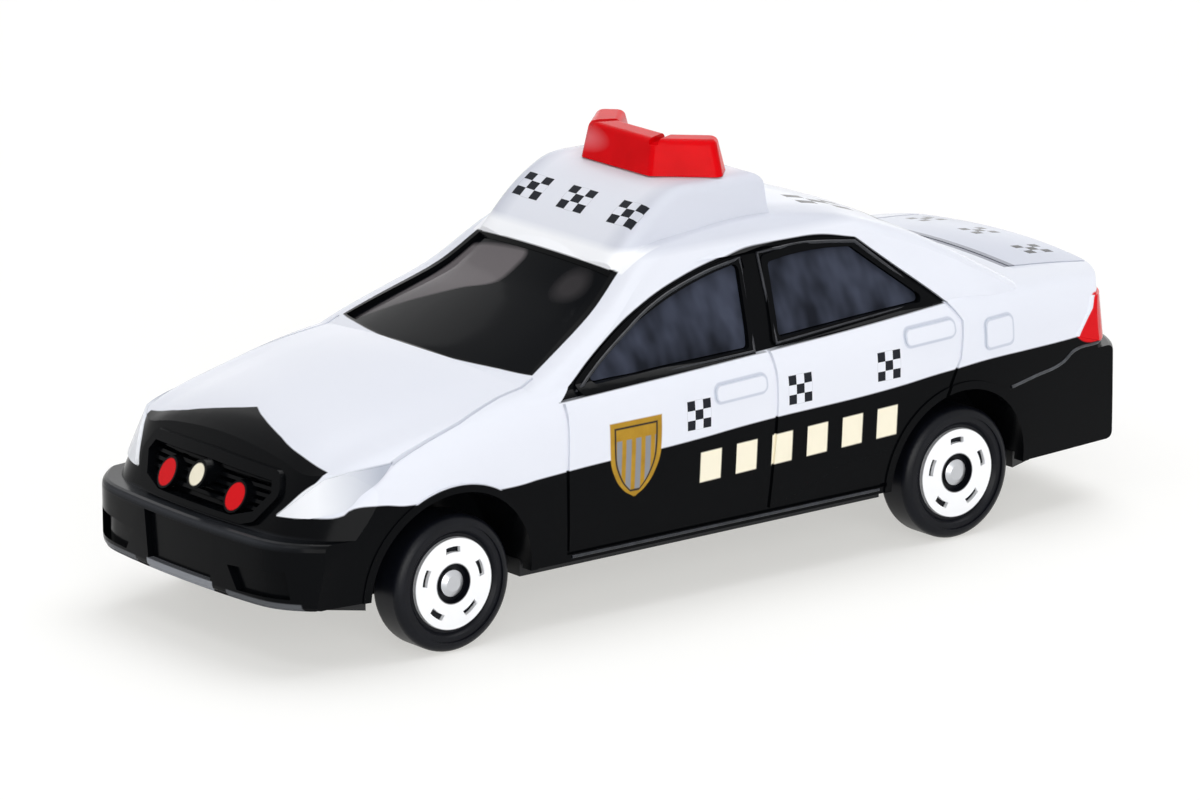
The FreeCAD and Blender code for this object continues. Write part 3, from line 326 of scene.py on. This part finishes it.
# (diagonal, height) of the lower and upper edges of the lamps, where their diagonals start and
# end, how far back the head lamps end and the tail lamps start, and how far out a head lamp starts
HEAD_LAMP_LOW = [
    (-1.98, 10.5), (0.52, 10.7), (2.92, 11.3), (4.02, 12.31), (5.12, 13.13), (5.82, 14.04),
]
HEAD_LAMP_HIGH = [(-1.98, 10.6), (1.34, 13.17), (3.02, 13.69), (5.82, 14.1)]
HEAD_LAMP_ENDS = (-1.98, 5.82)
HEAD_LAMP_BACK = -1.0
HEAD_LAMP_SIDE = 7.6
TAIL_LAMP_LOW = [(5.6, 12.4), (12.5, 12.4), (14.5, 13.2)]
TAIL_LAMP_HIGH = [
    (5.6, 15.2), (9.0, 15.95), (12.1, 16.0), (13.2, 14.9), (14.1, 13.6), (14.5, 12.8),
]
TAIL_LAMP_ENDS = (5.6, 14.5)
TAIL_LAMP_BACK = 50.0


def lamp_areas(tree, at):
    """The headlamps in the front corner's diagonal view, and the tail lamps in the rear one's."""
    from_tail = calc(tree, "SUBTRACT", TAIL_BACK, at.back)
    near, far = (
        calc(tree, "MULTIPLY", calc(tree, "ADD", at.side, run), math.sqrt(0.5))
        for run in (at.back, from_tail)
    )
    head_edges = curve(tree, near, HEAD_LAMP_LOW), curve(tree, near, HEAD_LAMP_HIGH)
    head = both(
        tree, between(tree, at.height, *head_edges), between(tree, near, *HEAD_LAMP_ENDS),
        below(tree, at.back, HEAD_LAMP_BACK), above(tree, at.side, HEAD_LAMP_SIDE),
    )
    tail_edges = curve(tree, far, TAIL_LAMP_LOW), curve(tree, far, TAIL_LAMP_HIGH)
    tail = both(
        tree, between(tree, at.height, *tail_edges), between(tree, far, *TAIL_LAMP_ENDS),
        above(tree, at.back, TAIL_LAMP_BACK),
    )
    return head, tail


SQUARES = 3


def chequer(tree, first, second, first_middle, second_middle, wide, high):
    """A small printed chequer of three squares by three round a middle."""
    half = SQUARES / 2
    run = calc(tree, "SUBTRACT", first, first_middle)
    rise = calc(tree, "SUBTRACT", second, second_middle)
    column = calc(tree, "MULTIPLY_ADD", run, SQUARES / wide, half)
    row = calc(tree, "MULTIPLY_ADD", rise, SQUARES / high, half)
    steps = calc(tree, "ADD", calc(tree, "FLOOR", column), calc(tree, "FLOOR", row))
    odd = calc(tree, "FLOORED_MODULO", steps, 2.0)
    inside = both(tree, between(tree, column, 0.0, SQUARES), between(tree, row, 0.0, SQUARES))
    return both(tree, inside, calc(tree, "SUBTRACT", 1.0, odd))


# (back, height) of the chequers on the doors, and their size
DOOR_MARKS = ((21.0, 13.45), (30.1, 13.8), (38.2, 14.15))
DOOR_MARK_SIZE = (2.1, 2.1)
# across of the chequers on the pedestal's ramp, their back, their size and the ramp's heights
RAMP_MARKS = (-5.1, 0.0, 5.8)
RAMP_MARK_BACK = 21.3
RAMP_MARK_SIZE = (2.9, 1.7)
RAMP_HEIGHTS = (24.5, 27.6)
# across and back of the chequers on the roof and on the trunk lid, with their size
ROOF_MARKS = ((-4.7, 39.4), (4.7, 39.4))
ROOF_MARK_SIZE = (2.4, 5.0)
ROOF_LOW = 22.5
LID_MARKS = ((-6.6, 59.2), (-0.6, 59.2), (5.6, 59.0))
LID_MARK_SIZE = (2.2, 2.4)
LID_MARK_LOW = 15.0


def dark_marks(tree, at):
    """Small chequers printed on the doors, the pedestal's ramp, the roof and the trunk lid."""
    on_side = above(tree, at.side, ON_SIDE)
    marks = [
        both(tree, chequer(tree, at.back, at.height, *mark, *DOOR_MARK_SIZE), on_side)
        for mark in DOOR_MARKS
    ]
    on_ramp = between(tree, at.height, *RAMP_HEIGHTS)
    for across in RAMP_MARKS:
        mark = chequer(tree, at.across, at.back, across, RAMP_MARK_BACK, *RAMP_MARK_SIZE)
        marks.append(both(tree, mark, on_ramp))
    for middles, size, low in (
        (ROOF_MARKS, ROOF_MARK_SIZE, ROOF_LOW), (LID_MARKS, LID_MARK_SIZE, LID_MARK_LOW),
    ):
        on_top = above(tree, at.height, low)
        marks += [
            both(tree, chequer(tree, at.across, at.back, *mark, *size), on_top)
            for mark in middles
        ]
    return either(tree, *marks)


BLOCKS = 6
BLOCK_PITCH, BLOCK_WIDE, BLOCK_TALL = 3.2, 1.85, 2.2
BLOCK_START = 21.2
# the whole row starts just ahead of the first block and ends past the last
BLOCK_ROW = (-0.1, BLOCKS * BLOCK_PITCH - 0.6)
# the row's middle rises by this much for each millimetre back, from this height at the front axle
BLOCK_RISE, BLOCK_HEIGHT = 0.0275, 8.95


def light_blocks(tree, at):
    """A row of six light blocks along the black of each side."""
    run = calc(tree, "SUBTRACT", at.back, BLOCK_START)
    within = calc(tree, "SUBTRACT", calc(tree, "MODULO", run, BLOCK_PITCH), BLOCK_WIDE / 2)
    middle_line = calc(tree, "MULTIPLY_ADD", at.back, BLOCK_RISE, BLOCK_HEIGHT)
    rise = calc(tree, "SUBTRACT", at.height, middle_line)
    return both(
        tree, between(tree, run, *BLOCK_ROW),
        between(tree, within, -BLOCK_WIDE / 2, BLOCK_WIDE / 2),
        between(tree, rise, -BLOCK_TALL / 2, BLOCK_TALL / 2), above(tree, at.side, ON_SIDE),
    )


SHIELD_BACK = 15.4
SHIELD_LOW, SHIELD_HIGH = 8.5, 14.05
# (height, half of its width)
SHIELD_HALF = [(8.5, 0.1), (9.1, 1.0), (10.1, 1.75), (11.4, 2.2), (14.05, 2.3)]
# how deep inside the outline the dark line starts and ends
SHIELD_LINE = (0.38, 0.52)
STRIPE_PITCH = 0.84
STRIPE = (0.2, 0.66)
STRIPES_TOP = 12.7


def shield(tree, at):
    """A plain shield printed ahead of the blocks: its whole shape, its stripes, its dark line."""
    run = calc(tree, "SUBTRACT", at.back, SHIELD_BACK)
    half = curve(tree, at.height, SHIELD_HALF)
    depth = joined(
        tree, "MINIMUM",
        (
            calc(tree, "SUBTRACT", half, calc(tree, "ABSOLUTE", run)),
            calc(tree, "SUBTRACT", SHIELD_HIGH, at.height),
            calc(tree, "SUBTRACT", at.height, SHIELD_LOW),
        ),
    )
    whole = both(tree, above(tree, depth, 0.0), above(tree, at.side, ON_SIDE))
    line = between(tree, depth, *SHIELD_LINE)
    shifted = calc(tree, "ADD", run, STRIPE_PITCH / 4)
    stripe = calc(tree, "FLOORED_MODULO", shifted, STRIPE_PITCH)
    stripes = both(
        tree, above(tree, depth, SHIELD_LINE[1]), below(tree, at.height, STRIPES_TOP),
        between(tree, stripe, *STRIPE),
    )
    return whole, both(tree, whole, stripes), both(tree, whole, line)


# back and height ranges of the two door handles and the fuel lid, along lines that rise this much
OUTLINES = (
    (22.5, 27.1, 13.15, 14.45), (39.8, 44.4, 13.75, 15.05), (47.2, 49.9, 12.15, 14.31),
)
OUTLINE_SLOPE = math.tan(math.radians(2.0))
OUTLINE_CORNER, OUTLINE_HALF = 0.5, 0.12
OUTLINE_SIDE = 11.0


def painted_outline_shade(tree, at):
    """Soft grey outlines with round corners: painted shade round the door handles, the fuel lid's
    joint.
    """
    level = calc(tree, "MULTIPLY_ADD", at.back, -OUTLINE_SLOPE, at.height)
    lines = []
    for low_back, high_back, low, high in OUTLINES:
        legs = []
        for place, start, end in ((at.back, low_back, high_back), (level, low, high)):
            off = calc(tree, "ABSOLUTE", calc(tree, "SUBTRACT", place, (start + end) / 2))
            past = calc(tree, "SUBTRACT", off, (end - start) / 2 - OUTLINE_CORNER)
            legs.append(calc(tree, "MAXIMUM", past, 0.0))
        reach = ring_reach(tree, *legs)
        lines.append(
            between(tree, reach, OUTLINE_CORNER - OUTLINE_HALF, OUTLINE_CORNER + OUTLINE_HALF)
        )
    return both(tree, either(tree, *lines), above(tree, at.side, OUTLINE_SIDE))


LID_GAP = (53.5, 54.6)
LID_GAP_SIDE, LID_GAP_LOW = 8.9, 16.5


def lid_line(tree, at):
    """The gap along the front edge of the trunk lid."""
    return both(
        tree, between(tree, at.back, *LID_GAP), below(tree, at.side, LID_GAP_SIDE),
        above(tree, at.height, LID_GAP_LOW),
    )


# how far out the painted highlights on the lips under the middle intake and the outer ones reach,
# their heights, and how strongly the outer ones show
MIDDLE_LIP_SIDE, MIDDLE_LIP_HEIGHTS = 3.9, (4.5, 5.3)
OUTER_LIP_SIDES, OUTER_LIP_HEIGHTS = (5.4, 11.8), (4.55, 5.1)
OUTER_LIP_SHARE = 0.35
# the ledge's painted highlight fades in towards the middle, and up and down from its own height
LEDGE_SIDES = (12.6, 8.0)
LEDGE_FOOT, LEDGE_HEIGHT, LEDGE_TOP = 8.7, 9.1, 9.5


def painted_edge_highlights(tree, at):
    """Painted highlights on the bumper's edges: the lips under its intakes, and its ledge."""
    ahead = below(tree, at.back, NOSE_BACK)
    centre = both(
        tree, ahead, below(tree, at.side, MIDDLE_LIP_SIDE),
        between(tree, at.height, *MIDDLE_LIP_HEIGHTS),
    )
    outer = both(
        tree, ahead, between(tree, at.side, *OUTER_LIP_SIDES),
        between(tree, at.height, *OUTER_LIP_HEIGHTS),
    )
    lips = either(tree, centre, calc(tree, "MULTIPLY", outer, OUTER_LIP_SHARE))
    ledge = both(
        tree, ahead, fade(tree, at.side, *LEDGE_SIDES),
        fade(tree, at.height, LEDGE_FOOT, LEDGE_HEIGHT),
        fade(tree, at.height, LEDGE_TOP, LEDGE_HEIGHT),
    )
    return lips, ledge


# where these areas start, or the two places that each starts and ends at or fades between
LID_BACK, LID_LOW, LID_SIDES = 53.9, 16.6, (9.6, 9.0)
FLANK_SIDES, FLANK_HEIGHTS, FLANK_BACKS = (5.4, 6.8), (23.6, 24.2), (17.0, 40.0)
FOOT_SIDE, FOOT_BACKS, FOOT_LOW, FOOT_HIGH = 8.6, (16.0, 22.0), 22.8, (24.4, 23.9)


def painted_shade_and_light_areas(tree, at):
    """Painted shade on the trunk lid and the pedestal's flanks, painted light at its ramp's foot.
    """
    lid = both(
        tree, above(tree, at.back, LID_BACK), above(tree, at.height, LID_LOW),
        fade(tree, at.side, *LID_SIDES),
    )
    flanks = both(
        tree, fade(tree, at.side, *FLANK_SIDES), fade(tree, at.height, *FLANK_HEIGHTS),
        between(tree, at.back, *FLANK_BACKS),
    )
    foot = both(
        tree, below(tree, at.side, FOOT_SIDE), between(tree, at.back, *FOOT_BACKS),
        fade(tree, at.height, *FOOT_HIGH), above(tree, at.height, FOOT_LOW),
    )
    return lid, flanks, foot


# (side, height) of the grille's lamps and the height of the boss between them, with their radii
GRILLE_LAMP, GRILLE_LAMP_RADIUS = (4.04, 11.05), 0.88
BOSS_HEIGHT, BOSS_RADIUS = 11.8, 0.72


def grille_discs(tree, at):
    """Red faces of the grille's two lamps, and the light face of the round boss between them."""
    ahead = below(tree, at.back, NOSE_BACK)
    lamp_reach = ring_reach(tree, at.side, at.height, *GRILLE_LAMP)
    boss_reach = ring_reach(tree, at.across, at.height, 0.0, BOSS_HEIGHT)
    lamps = both(tree, below(tree, lamp_reach, GRILLE_LAMP_RADIUS), ahead)
    return lamps, both(tree, below(tree, boss_reach, BOSS_RADIUS), ahead)


# the headlamps darken to the rear and outward, a painted shade: the share of side in that, its
# start and end
LAMP_SLANT, LAMP_FADE = 0.6, (-3.0, 2.2)


def enamel():
    """Baked enamel on cast zinc: an even, wet-looking coat in white and black."""
    made, tree, shader = material("baked_enamel_on_cast_zinc", Specular_IOR_Level=0.05)
    at = places(tree)
    lid, flanks, foot = painted_shade_and_light_areas(tree, at)
    lips, ledge = painted_edge_highlights(tree, at)
    head_lamps, tail_lamps = lamp_areas(tree, at)
    whole_shield, shield_stripes, shield_line = shield(tree, at)
    grille_lamps, boss = grille_discs(tree, at)

    grain = speckle(tree, shader, 900.0, 0.03, 0.14, 0.22)
    tone = add(
        tree, "ShaderNodeTexNoise", {"Vector": object_place(tree), "Scale": 60.0}
    ).outputs[0]
    gold = blend(tree, grain, linear(GOLD), linear(DEEP_GOLD))
    lamp_run = calc(tree, "ADD", at.back, calc(tree, "MULTIPLY", at.side, LAMP_SLANT))
    lamp_shade = fade(tree, lamp_run, *LAMP_FADE)
    silver = blend(tree, lamp_shade, linear(SILVER), linear(LAMP_SHADE))

    color = blend(tree, tone, linear(WHITE), linear(SHADED_WHITE))
    for mask, coat in (
        # painted shade on the lid and flanks, painted light at the ramp's foot
        (lid, linear(LID_SHADE_WHITE)),
        (flanks, linear(FLANK_SHADE_WHITE)),
        (foot, linear(FOOT_LIT_WHITE)),
        # painted shade round the door handles, and the fuel lid's joint
        (painted_outline_shade(tree, at), linear(OUTLINE_SHADE)),
        (lid_line(tree, at), linear(LID_LINE)),
        (black_areas(tree, at), linear(BLACK)),
        # painted highlights on the bumper's lips and ledge
        (lips, linear(LIP_HIGHLIGHT)),
        (ledge, linear(LEDGE_HIGHLIGHT)),
        (head_lamps, silver),
        (tail_lamps, linear(LAMP_RED)),
        (dark_marks(tree, at), linear(INK)),
        (light_blocks(tree, at), linear(CREAM)),
        (whole_shield, gold),
        (shield_stripes, linear(GREY)),
        (shield_line, linear(INK)),
        (grille_lamps, linear(LAMP_RED)),
        (boss, linear(CREAM)),
    ):
        color = blend(tree, mask, color, coat)
    paint(tree, shader, color)
    return made


# ---- the mouldings and the steel ----

SMOKE_DARK, SMOKE_PALE = "1B1E26", "424756"
# painted shade and painted reflection on the windscreen
SCREEN_SHADE, SCREEN_REFLECTION = "05070B", "6C6769"
# (back, side) of the windscreen's side edges, and how far back it ends at most
SCREEN_SIDE = [(6.6, 11.7), (18.6, 8.7)]
SCREEN_BACK = 20.0
# (back, across) of the inner edge of the painted reflection, a paler patch on the windscreen's
# right half
PATCH_EDGE = [
    (7.0, -12.0), (9.1, -9.4), (11.3, -6.8), (13.3, -3.9), (15.5, -0.9), (17.0, -0.9),
    (18.6, -2.6),
]
# where the patch fades: past its inner edge, in from the side edge, at its top and up from below
PATCH_INNER, PATCH_RIM, PATCH_TOP, PATCH_RISE = (0.3, -0.3), (1.1, 1.5), (18.0, 17.6), (5.0, 14.0)
# (across, back) of the painted reflection spot on its left half, its outer and inner radius, its
# strength
SPOT, SPOT_RADII, SPOT_SHARE = (5.3, 16.6), (1.7, 0.7), 0.22


def smoked_plastic():
    """Smoke-tinted clear styrene: glossy, with upright paler streaks.

    In front it is darker, a painted shade, with painted reflections: a paler patch and a faint
    spot.
    """
    made, tree, shader = material(
        "smoked_clear_styrene", Transmission_Weight=0.12, IOR=1.3, Specular_IOR_Level=0.04,
    )
    at = places(tree)
    speckle(tree, shader, 260.0, 0.05, 0.05, 0.12)
    stretched = add(
        tree, "ShaderNodeMapping", {"Vector": object_place(tree), "Scale": (1.0, 1.0, 0.25)}
    ).outputs[0]
    streaks = add(
        tree, "ShaderNodeTexNoise", {"Vector": stretched, "Scale": 420.0, "Detail": 2.0}
    ).outputs[0]
    streaked = blend(
        tree, fade(tree, streaks, 0.35, 0.7), linear(SMOKE_DARK), linear(SMOKE_PALE)
    )

    edge = curve(tree, at.back, SCREEN_SIDE)
    past = calc(tree, "SUBTRACT", at.across, curve(tree, at.back, PATCH_EDGE))
    patch = both(
        tree, fade(tree, past, *PATCH_INNER),
        fade(tree, calc(tree, "SUBTRACT", edge, at.side), *PATCH_RIM),
        fade(tree, at.back, *PATCH_TOP), fade(tree, at.back, *PATCH_RISE),
    )
    spot = fade(tree, ring_reach(tree, at.across, at.back, *SPOT), *SPOT_RADII)
    painted_highlight = either(tree, patch, calc(tree, "MULTIPLY", spot, SPOT_SHARE))
    screen_shade_and_reflection = blend(tree, painted_highlight, linear(SCREEN_SHADE), linear(SCREEN_REFLECTION))
    screen = both(tree, below(tree, at.side, edge), below(tree, at.back, SCREEN_BACK))
    paint(tree, shader, blend(tree, screen, streaked, screen_shade_and_reflection))
    return made


BAR_RED, BAR_BRIGHT_RED, BAR_HIGHLIGHT = "CC0208", "EC0512", "F08A90"
# (across, height) of the middle of the painted highlight, which is this many times as wide as it
# is high, the outer and inner radius that it fades between, and its strength
BAR_HIGHLIGHT_AT, BAR_HIGHLIGHT_WIDER = (-4.2, 29.5), 3
BAR_HIGHLIGHT_RADII, BAR_HIGHLIGHT_SHARE = (1.1, 0.3), 0.6


def red_plastic():
    """Clear red styrene: deep, saturated and polished, with a painted highlight on the far arm."""
    made, tree, shader = material(
        "clear_red_styrene", Transmission_Weight=0.15, IOR=1.3, Specular_IOR_Level=0.03,
    )
    at = places(tree)
    noise = speckle(tree, shader, 500.0, 0.06, 0.06, 0.16)
    red = blend(tree, noise, linear(BAR_RED), linear(BAR_BRIGHT_RED))
    across, height = BAR_HIGHLIGHT_AT
    run = calc(tree, "SUBTRACT", at.across, across)
    narrowed = calc(tree, "MULTIPLY", run, 1 / BAR_HIGHLIGHT_WIDER)
    rise = calc(tree, "SUBTRACT", at.height, height)
    # painted highlight on the far arm
    painted_highlight = fade(tree, ring_reach(tree, narrowed, rise), *BAR_HIGHLIGHT_RADII)
    share = calc(tree, "MULTIPLY", painted_highlight, BAR_HIGHLIGHT_SHARE)
    paint(tree, shader, blend(tree, share, red, linear(BAR_HIGHLIGHT)))
    return made


def plain_moulding(name, light, dark, smoothest, roughest):
    """Dull moulded plastic, uneven in tone and gloss as it comes from a textured mould."""
    made, tree, shader = material(name, Specular_IOR_Level=0.3)
    noise = speckle(tree, shader, 800.0, 0.15, smoothest, roughest)
    paint(tree, shader, blend(tree, noise, linear(dark), linear(light)))
    return made


def steel():
    """Cold-headed steel wire: a bright, faintly pitted dome."""
    made, tree, shader = material("cold_headed_steel", Base_Color=linear("C4C6CA"), Metallic=1.0)
    speckle(tree, shader, 1500.0, 0.1, 0.22, 0.42)
    return made


TYRE_DARK, TYRE_PALE, FOIL = "07080C", "101219", "F6F7F9"
# inner and outer radius of the bright disc, how far out its face is, and the foil's metal share
DISC_RADII, DISC_SIDE, FOIL_METAL = (1.45, 3.24), 13.2, 0.25


def wheel_finish(name, axle_back):
    """Moulded black styrene: a satin tyre, and a disc whose face is hot-foiled bright white."""
    made, tree, shader = material(name, Specular_IOR_Level=0.16)
    at = places(tree)
    reach = ring_reach(tree, at.back, at.height, axle_back, AXLE_HEIGHT)
    disc = both(tree, between(tree, reach, *DISC_RADII), above(tree, at.side, DISC_SIDE))
    noise = speckle(tree, shader, 700.0, 0.12, 0.28, 0.42)
    tyre = blend(tree, noise, linear(TYRE_DARK), linear(TYRE_PALE))
    paint(tree, shader, blend(tree, disc, tyre, linear(FOIL)))
    tree.links.new(calc(tree, "MULTIPLY", disc, FOIL_METAL), shader.inputs["Metallic"])
    return made


def painted_highlight_enamel(name, color):
    """Raised edges of the black enamel, which shine most, in a grey mottled with black: a painted
    highlight.
    """
    made, tree, shader = material(name, Specular_IOR_Level=0.3)
    noise = speckle(tree, shader, 1200.0, 0.05, 0.16, 0.28)
    paint(tree, shader, blend(tree, noise, linear(color), linear(BLACK)))
    return made


dress("body_shell", enamel())
dress("glazing", smoked_plastic())
dress("light_bar", red_plastic())
dress("interior", plain_moulding("grey_moulded_styrene", "34353A", "212226", 0.4, 0.6))
dress("base_plate", plain_moulding("black_moulded_acetal", "111215", "08090B", 0.35, 0.55))
bright = steel()
for end, axle_back in (("front", 0.0), ("rear", WHEELBASE)):
    dress(f"axle_{end}", bright)
    finish = wheel_finish(f"moulded_wheel_styrene_{end}", axle_back)
    for hand in ("left", "right"):
        dress(f"wheel_{end}_{hand}", finish)


# ---- thin raised trim, drawn flat and laid against the body's sides ----

def link(item):
    bpy.context.scene.collection.objects.link(item)
    return item


body_mesh = frame["nodes"]["body_shell"].data
body_skin = BVHTree.FromPolygons(
    [corner.co for corner in body_mesh.vertices], [face.vertices for face in body_mesh.polygons]
)


def drawn(points, closed):
    """Places along a smooth flat line through the points, with a corner at each marked sharp."""
    path = bpy.data.curves.new("draft", "CURVE")
    path.resolution_u = 6
    spline = path.splines.new("BEZIER")
    spline.bezier_points.add(len(points) - 1)
    spline.use_cyclic_u = closed
    for knot, (first, second, sharp) in zip(spline.bezier_points, points):
        knot.co = (first, second, 0)
        knot.handle_left_type = knot.handle_right_type = "VECTOR" if sharp else "AUTO"
    draft = link(bpy.data.objects.new("draft", path))
    flat = bpy.data.meshes.new_from_object(draft)
    run = [Vector(corner.co[:2]) for corner in flat.vertices]
    bpy.data.objects.remove(draft)
    bpy.data.meshes.remove(flat)
    return run


def bead(name, run, radius, finish, closed):
    """A round bead half sunk in the body along the places."""
    path = bpy.data.curves.new(name, "CURVE")
    path.dimensions = "3D"
    path.bevel_depth = radius * MM
    path.bevel_resolution = 2
    path.use_fill_caps = True
    spline = path.splines.new("POLY")
    spline.points.add(len(run) - 1)
    for knot, place in zip(spline.points, run):
        knot.co = (*place, 1)
    spline.use_cyclic_u = closed
    draft = link(bpy.data.objects.new("draft", path))
    mesh = bpy.data.meshes.new_from_object(draft)
    bpy.data.objects.remove(draft)
    mesh.materials.clear()
    mesh.materials.append(finish)
    piece = link(bpy.data.objects.new(name, mesh))
    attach(piece, "root")


# a ray comes in from this far out, in metres, and each step of the search is in millimetres
RAY = 0.05
SEARCH_STEPS, SEARCH_STEP = 15, 0.1


def side_place(sign, flat, middle_of_run):
    """The body's skin beside a flat place, or beside the nearest one outward of an opening."""
    outward = (flat - middle_of_run).normalized()
    for step in range(SEARCH_STEPS):
        back, height = flat + outward * step * SEARCH_STEP
        start = Vector((sign * RAY, AXLE_Y + back * MM, height * MM))
        found = body_skin.ray_cast(start, Vector((-sign, 0, 0)), RAY)[0]
        if found:
            return found


def side_bead(name, points, radius, finish, closed=False):
    """A bead on each side of the body, through points given as back, height and sharpness."""
    run = drawn(points, closed)
    middle_of_run = sum(run, Vector((0, 0))) / len(run)
    for hand, sign in (("left", 1), ("right", -1)):
        found = [side_place(sign, flat, middle_of_run) for flat in run]
        bead(f"{name}_{hand}", [place for place in found if place], radius, finish, closed)


SMOOTH, SHARP = False, True
SILL_LINE = 4.95
# the beads' greys, lighter than the black enamel, are painted highlights
window_edge = painted_highlight_enamel("window_frame_enamel", "3A3C42")
bumper_edge = painted_highlight_enamel("bumper_edge_enamel", "53565C")
sill_edge = painted_highlight_enamel("sill_edge_enamel", "3C3F46")
side_bead(
    "front_window_bead",
    [(11.1, 16.5, SHARP), (15.0, 18.45, SMOOTH), (19.4, 20.65, SMOOTH), (24.3, 22.05, SMOOTH),
     (28.35, 22.7, SHARP), (26.95, 16.75, SHARP)],
    0.14, window_edge, closed=True,
)
side_bead(
    "rear_window_bead",
    [(29.95, 22.75, SHARP), (34.2, 22.85, SMOOTH), (38.4, 22.4, SHARP), (43.4, 17.85, SHARP),
     (29.05, 17.0, SHARP)],
    0.14, window_edge, closed=True,
)
side_bead(
    "rear_bumper_bead",
    [(49.9, 10.55, SHARP), (52.2, 10.95, SMOOTH), (55.0, 11.45, SMOOTH), (56.2, 12.15, SMOOTH),
     (58.2, 12.3, SMOOTH), (60.0, 12.3, SHARP)],
    0.13, bumper_edge,
)
side_bead(
    "sill_bead",
    [(10.2, SILL_LINE, SHARP), (24.0, SILL_LINE, SMOOTH), (37.8, SILL_LINE, SHARP)],
    0.12, sill_edge,
)


# ---- floor, light and camera ----

def seen(tree):
    """1 for what the camera, a mirror-like surface or a clear one sees."""
    path = add(tree, "ShaderNodeLightPath").outputs
    return either(tree, path["Is Camera Ray"], path["Is Glossy Ray"], path["Is Transmission Ray"])


# half of the floor's width in metres, the strength of its plain white, and the share of that in
# what is seen of it, which keeps its shadow soft and pale
FLOOR_REACH = 3.0
GLOW_STRENGTH, GLOW_SHARE = 1.04, 0.5


def floor():
    """A wide sheet of white paper: matt, with a faint tooth."""
    mesh = bpy.data.meshes.new("floor")
    signs = ((-1, -1), (1, -1), (1, 1), (-1, 1))
    corners = [(across * FLOOR_REACH, along * FLOOR_REACH, 0) for across, along in signs]
    mesh.from_pydata(corners, [], [(0, 1, 2, 3)])
    made, tree, shader = material(
        "white_paper", Base_Color=linear("FFFFFF"), Specular_IOR_Level=0.1,
    )
    speckle(tree, shader, 900.0, 0.02, 0.85, 0.95)
    glow = add(tree, "ShaderNodeEmission", [linear("FFFEFA"), GLOW_STRENGTH]).outputs[0]
    share = calc(tree, "MULTIPLY", seen(tree), GLOW_SHARE)
    mix = add(tree, "ShaderNodeMixShader", [share, shader.outputs[0], glow])
    tree.links.new(mix.outputs[0], tree.nodes["Material Output"].inputs[0])
    mesh.materials.append(made)
    link(bpy.data.objects.new("floor", mesh))


def lamp(name, kind, energy, direction, **settings):
    """A lamp of the kind that shines from the direction."""
    light = bpy.data.lights.new(name, kind)
    light.energy = energy
    for key, value in settings.items():
        setattr(light, key, value)
    item = link(bpy.data.objects.new(name, light))
    item.rotation_euler = Vector(direction).to_track_quat("Z", "Y").to_euler()
    return item


SKY_COLOR, SKY_STRENGTH = (0.95, 0.96, 1.0, 1), 0.3


def world():
    """Soft light from all round, plain white where it is seen."""
    made = bpy.data.worlds.new("studio")
    made.use_nodes = True
    bpy.context.scene.world = made
    tree = made.node_tree
    soft = tree.nodes["Background"]
    soft.inputs[0].default_value = SKY_COLOR
    soft.inputs[1].default_value = SKY_STRENGTH
    plain = add(tree, "ShaderNodeBackground", [(1, 1, 1, 1), 1.0])
    mix = add(tree, "ShaderNodeMixShader", [seen(tree), soft.outputs[0], plain.outputs[0]])
    tree.links.new(mix.outputs[0], tree.nodes["World Output"].inputs[0])


# the camera's turn round the car, rise above the floor and roll, in degrees, its lens, its shift,
# the place that it looks at and its distance from there, in metres
CAMERA_TURN, CAMERA_RISE, CAMERA_ROLL = 52.056, 14.995, -0.274
CAMERA_LENS, CAMERA_SHIFT = 239.74, -0.01333
CAMERA_AIM = (0, AXLE_Y + 0.0247, 0.010919)
CAMERA_DISTANCE = 0.570635


def camera():
    turn, rise, roll = (
        math.radians(angle) for angle in (CAMERA_TURN, CAMERA_RISE, CAMERA_ROLL)
    )
    level = math.cos(rise)
    back = Vector((math.sin(turn) * level, -math.cos(turn) * level, math.sin(rise)))
    right = (-back).cross(Vector((0, 0, 1))).normalized()
    up = right.cross(-back)
    rolled = right * math.cos(roll) + up * math.sin(roll)
    raised = up * math.cos(roll) - right * math.sin(roll)
    lens = bpy.data.cameras.new("camera")
    lens.sensor_width = 36
    lens.lens = CAMERA_LENS
    lens.shift_x = CAMERA_SHIFT
    item = link(bpy.data.objects.new("camera", lens))
    pose = Matrix((rolled, raised, back)).transposed().to_4x4()
    pose.translation = Vector(CAMERA_AIM) + back * CAMERA_DISTANCE
    item.matrix_world = pose
    bpy.context.scene.camera = item


# each sun's name, the side that it shines from, its strength, its width in degrees, its colour
SUNS = (
    ("overhead", (-0.1, 0.35, 1.0), 1.5, 50, (0.98, 0.99, 1.0)),
    ("front", (1.0, -0.55, 0.1), 2.85, 60, (1.0, 0.995, 0.98)),
    ("back", (-0.8, 0.8, 0.5), 0.5, 60, (1, 1, 1)),
)
# the strip light's place and aim, in metres as its sides are
STRIP_PLACE, STRIP_AIM = Vector((0.1, -0.25, 0.4)), Vector((0, 0, 0.01))

floor()
world()
for name, direction, strength, spread, color in SUNS:
    lamp(name, "SUN", strength, direction, angle=math.radians(spread), color=color)
strip = lamp(
    "strip", "AREA", 0.25, STRIP_PLACE - STRIP_AIM, shape="RECTANGLE", size=0.35, size_y=0.1
)
strip.location = STRIP_PLACE
camera()
bpy.context.scene.view_settings.view_transform = "Standard"
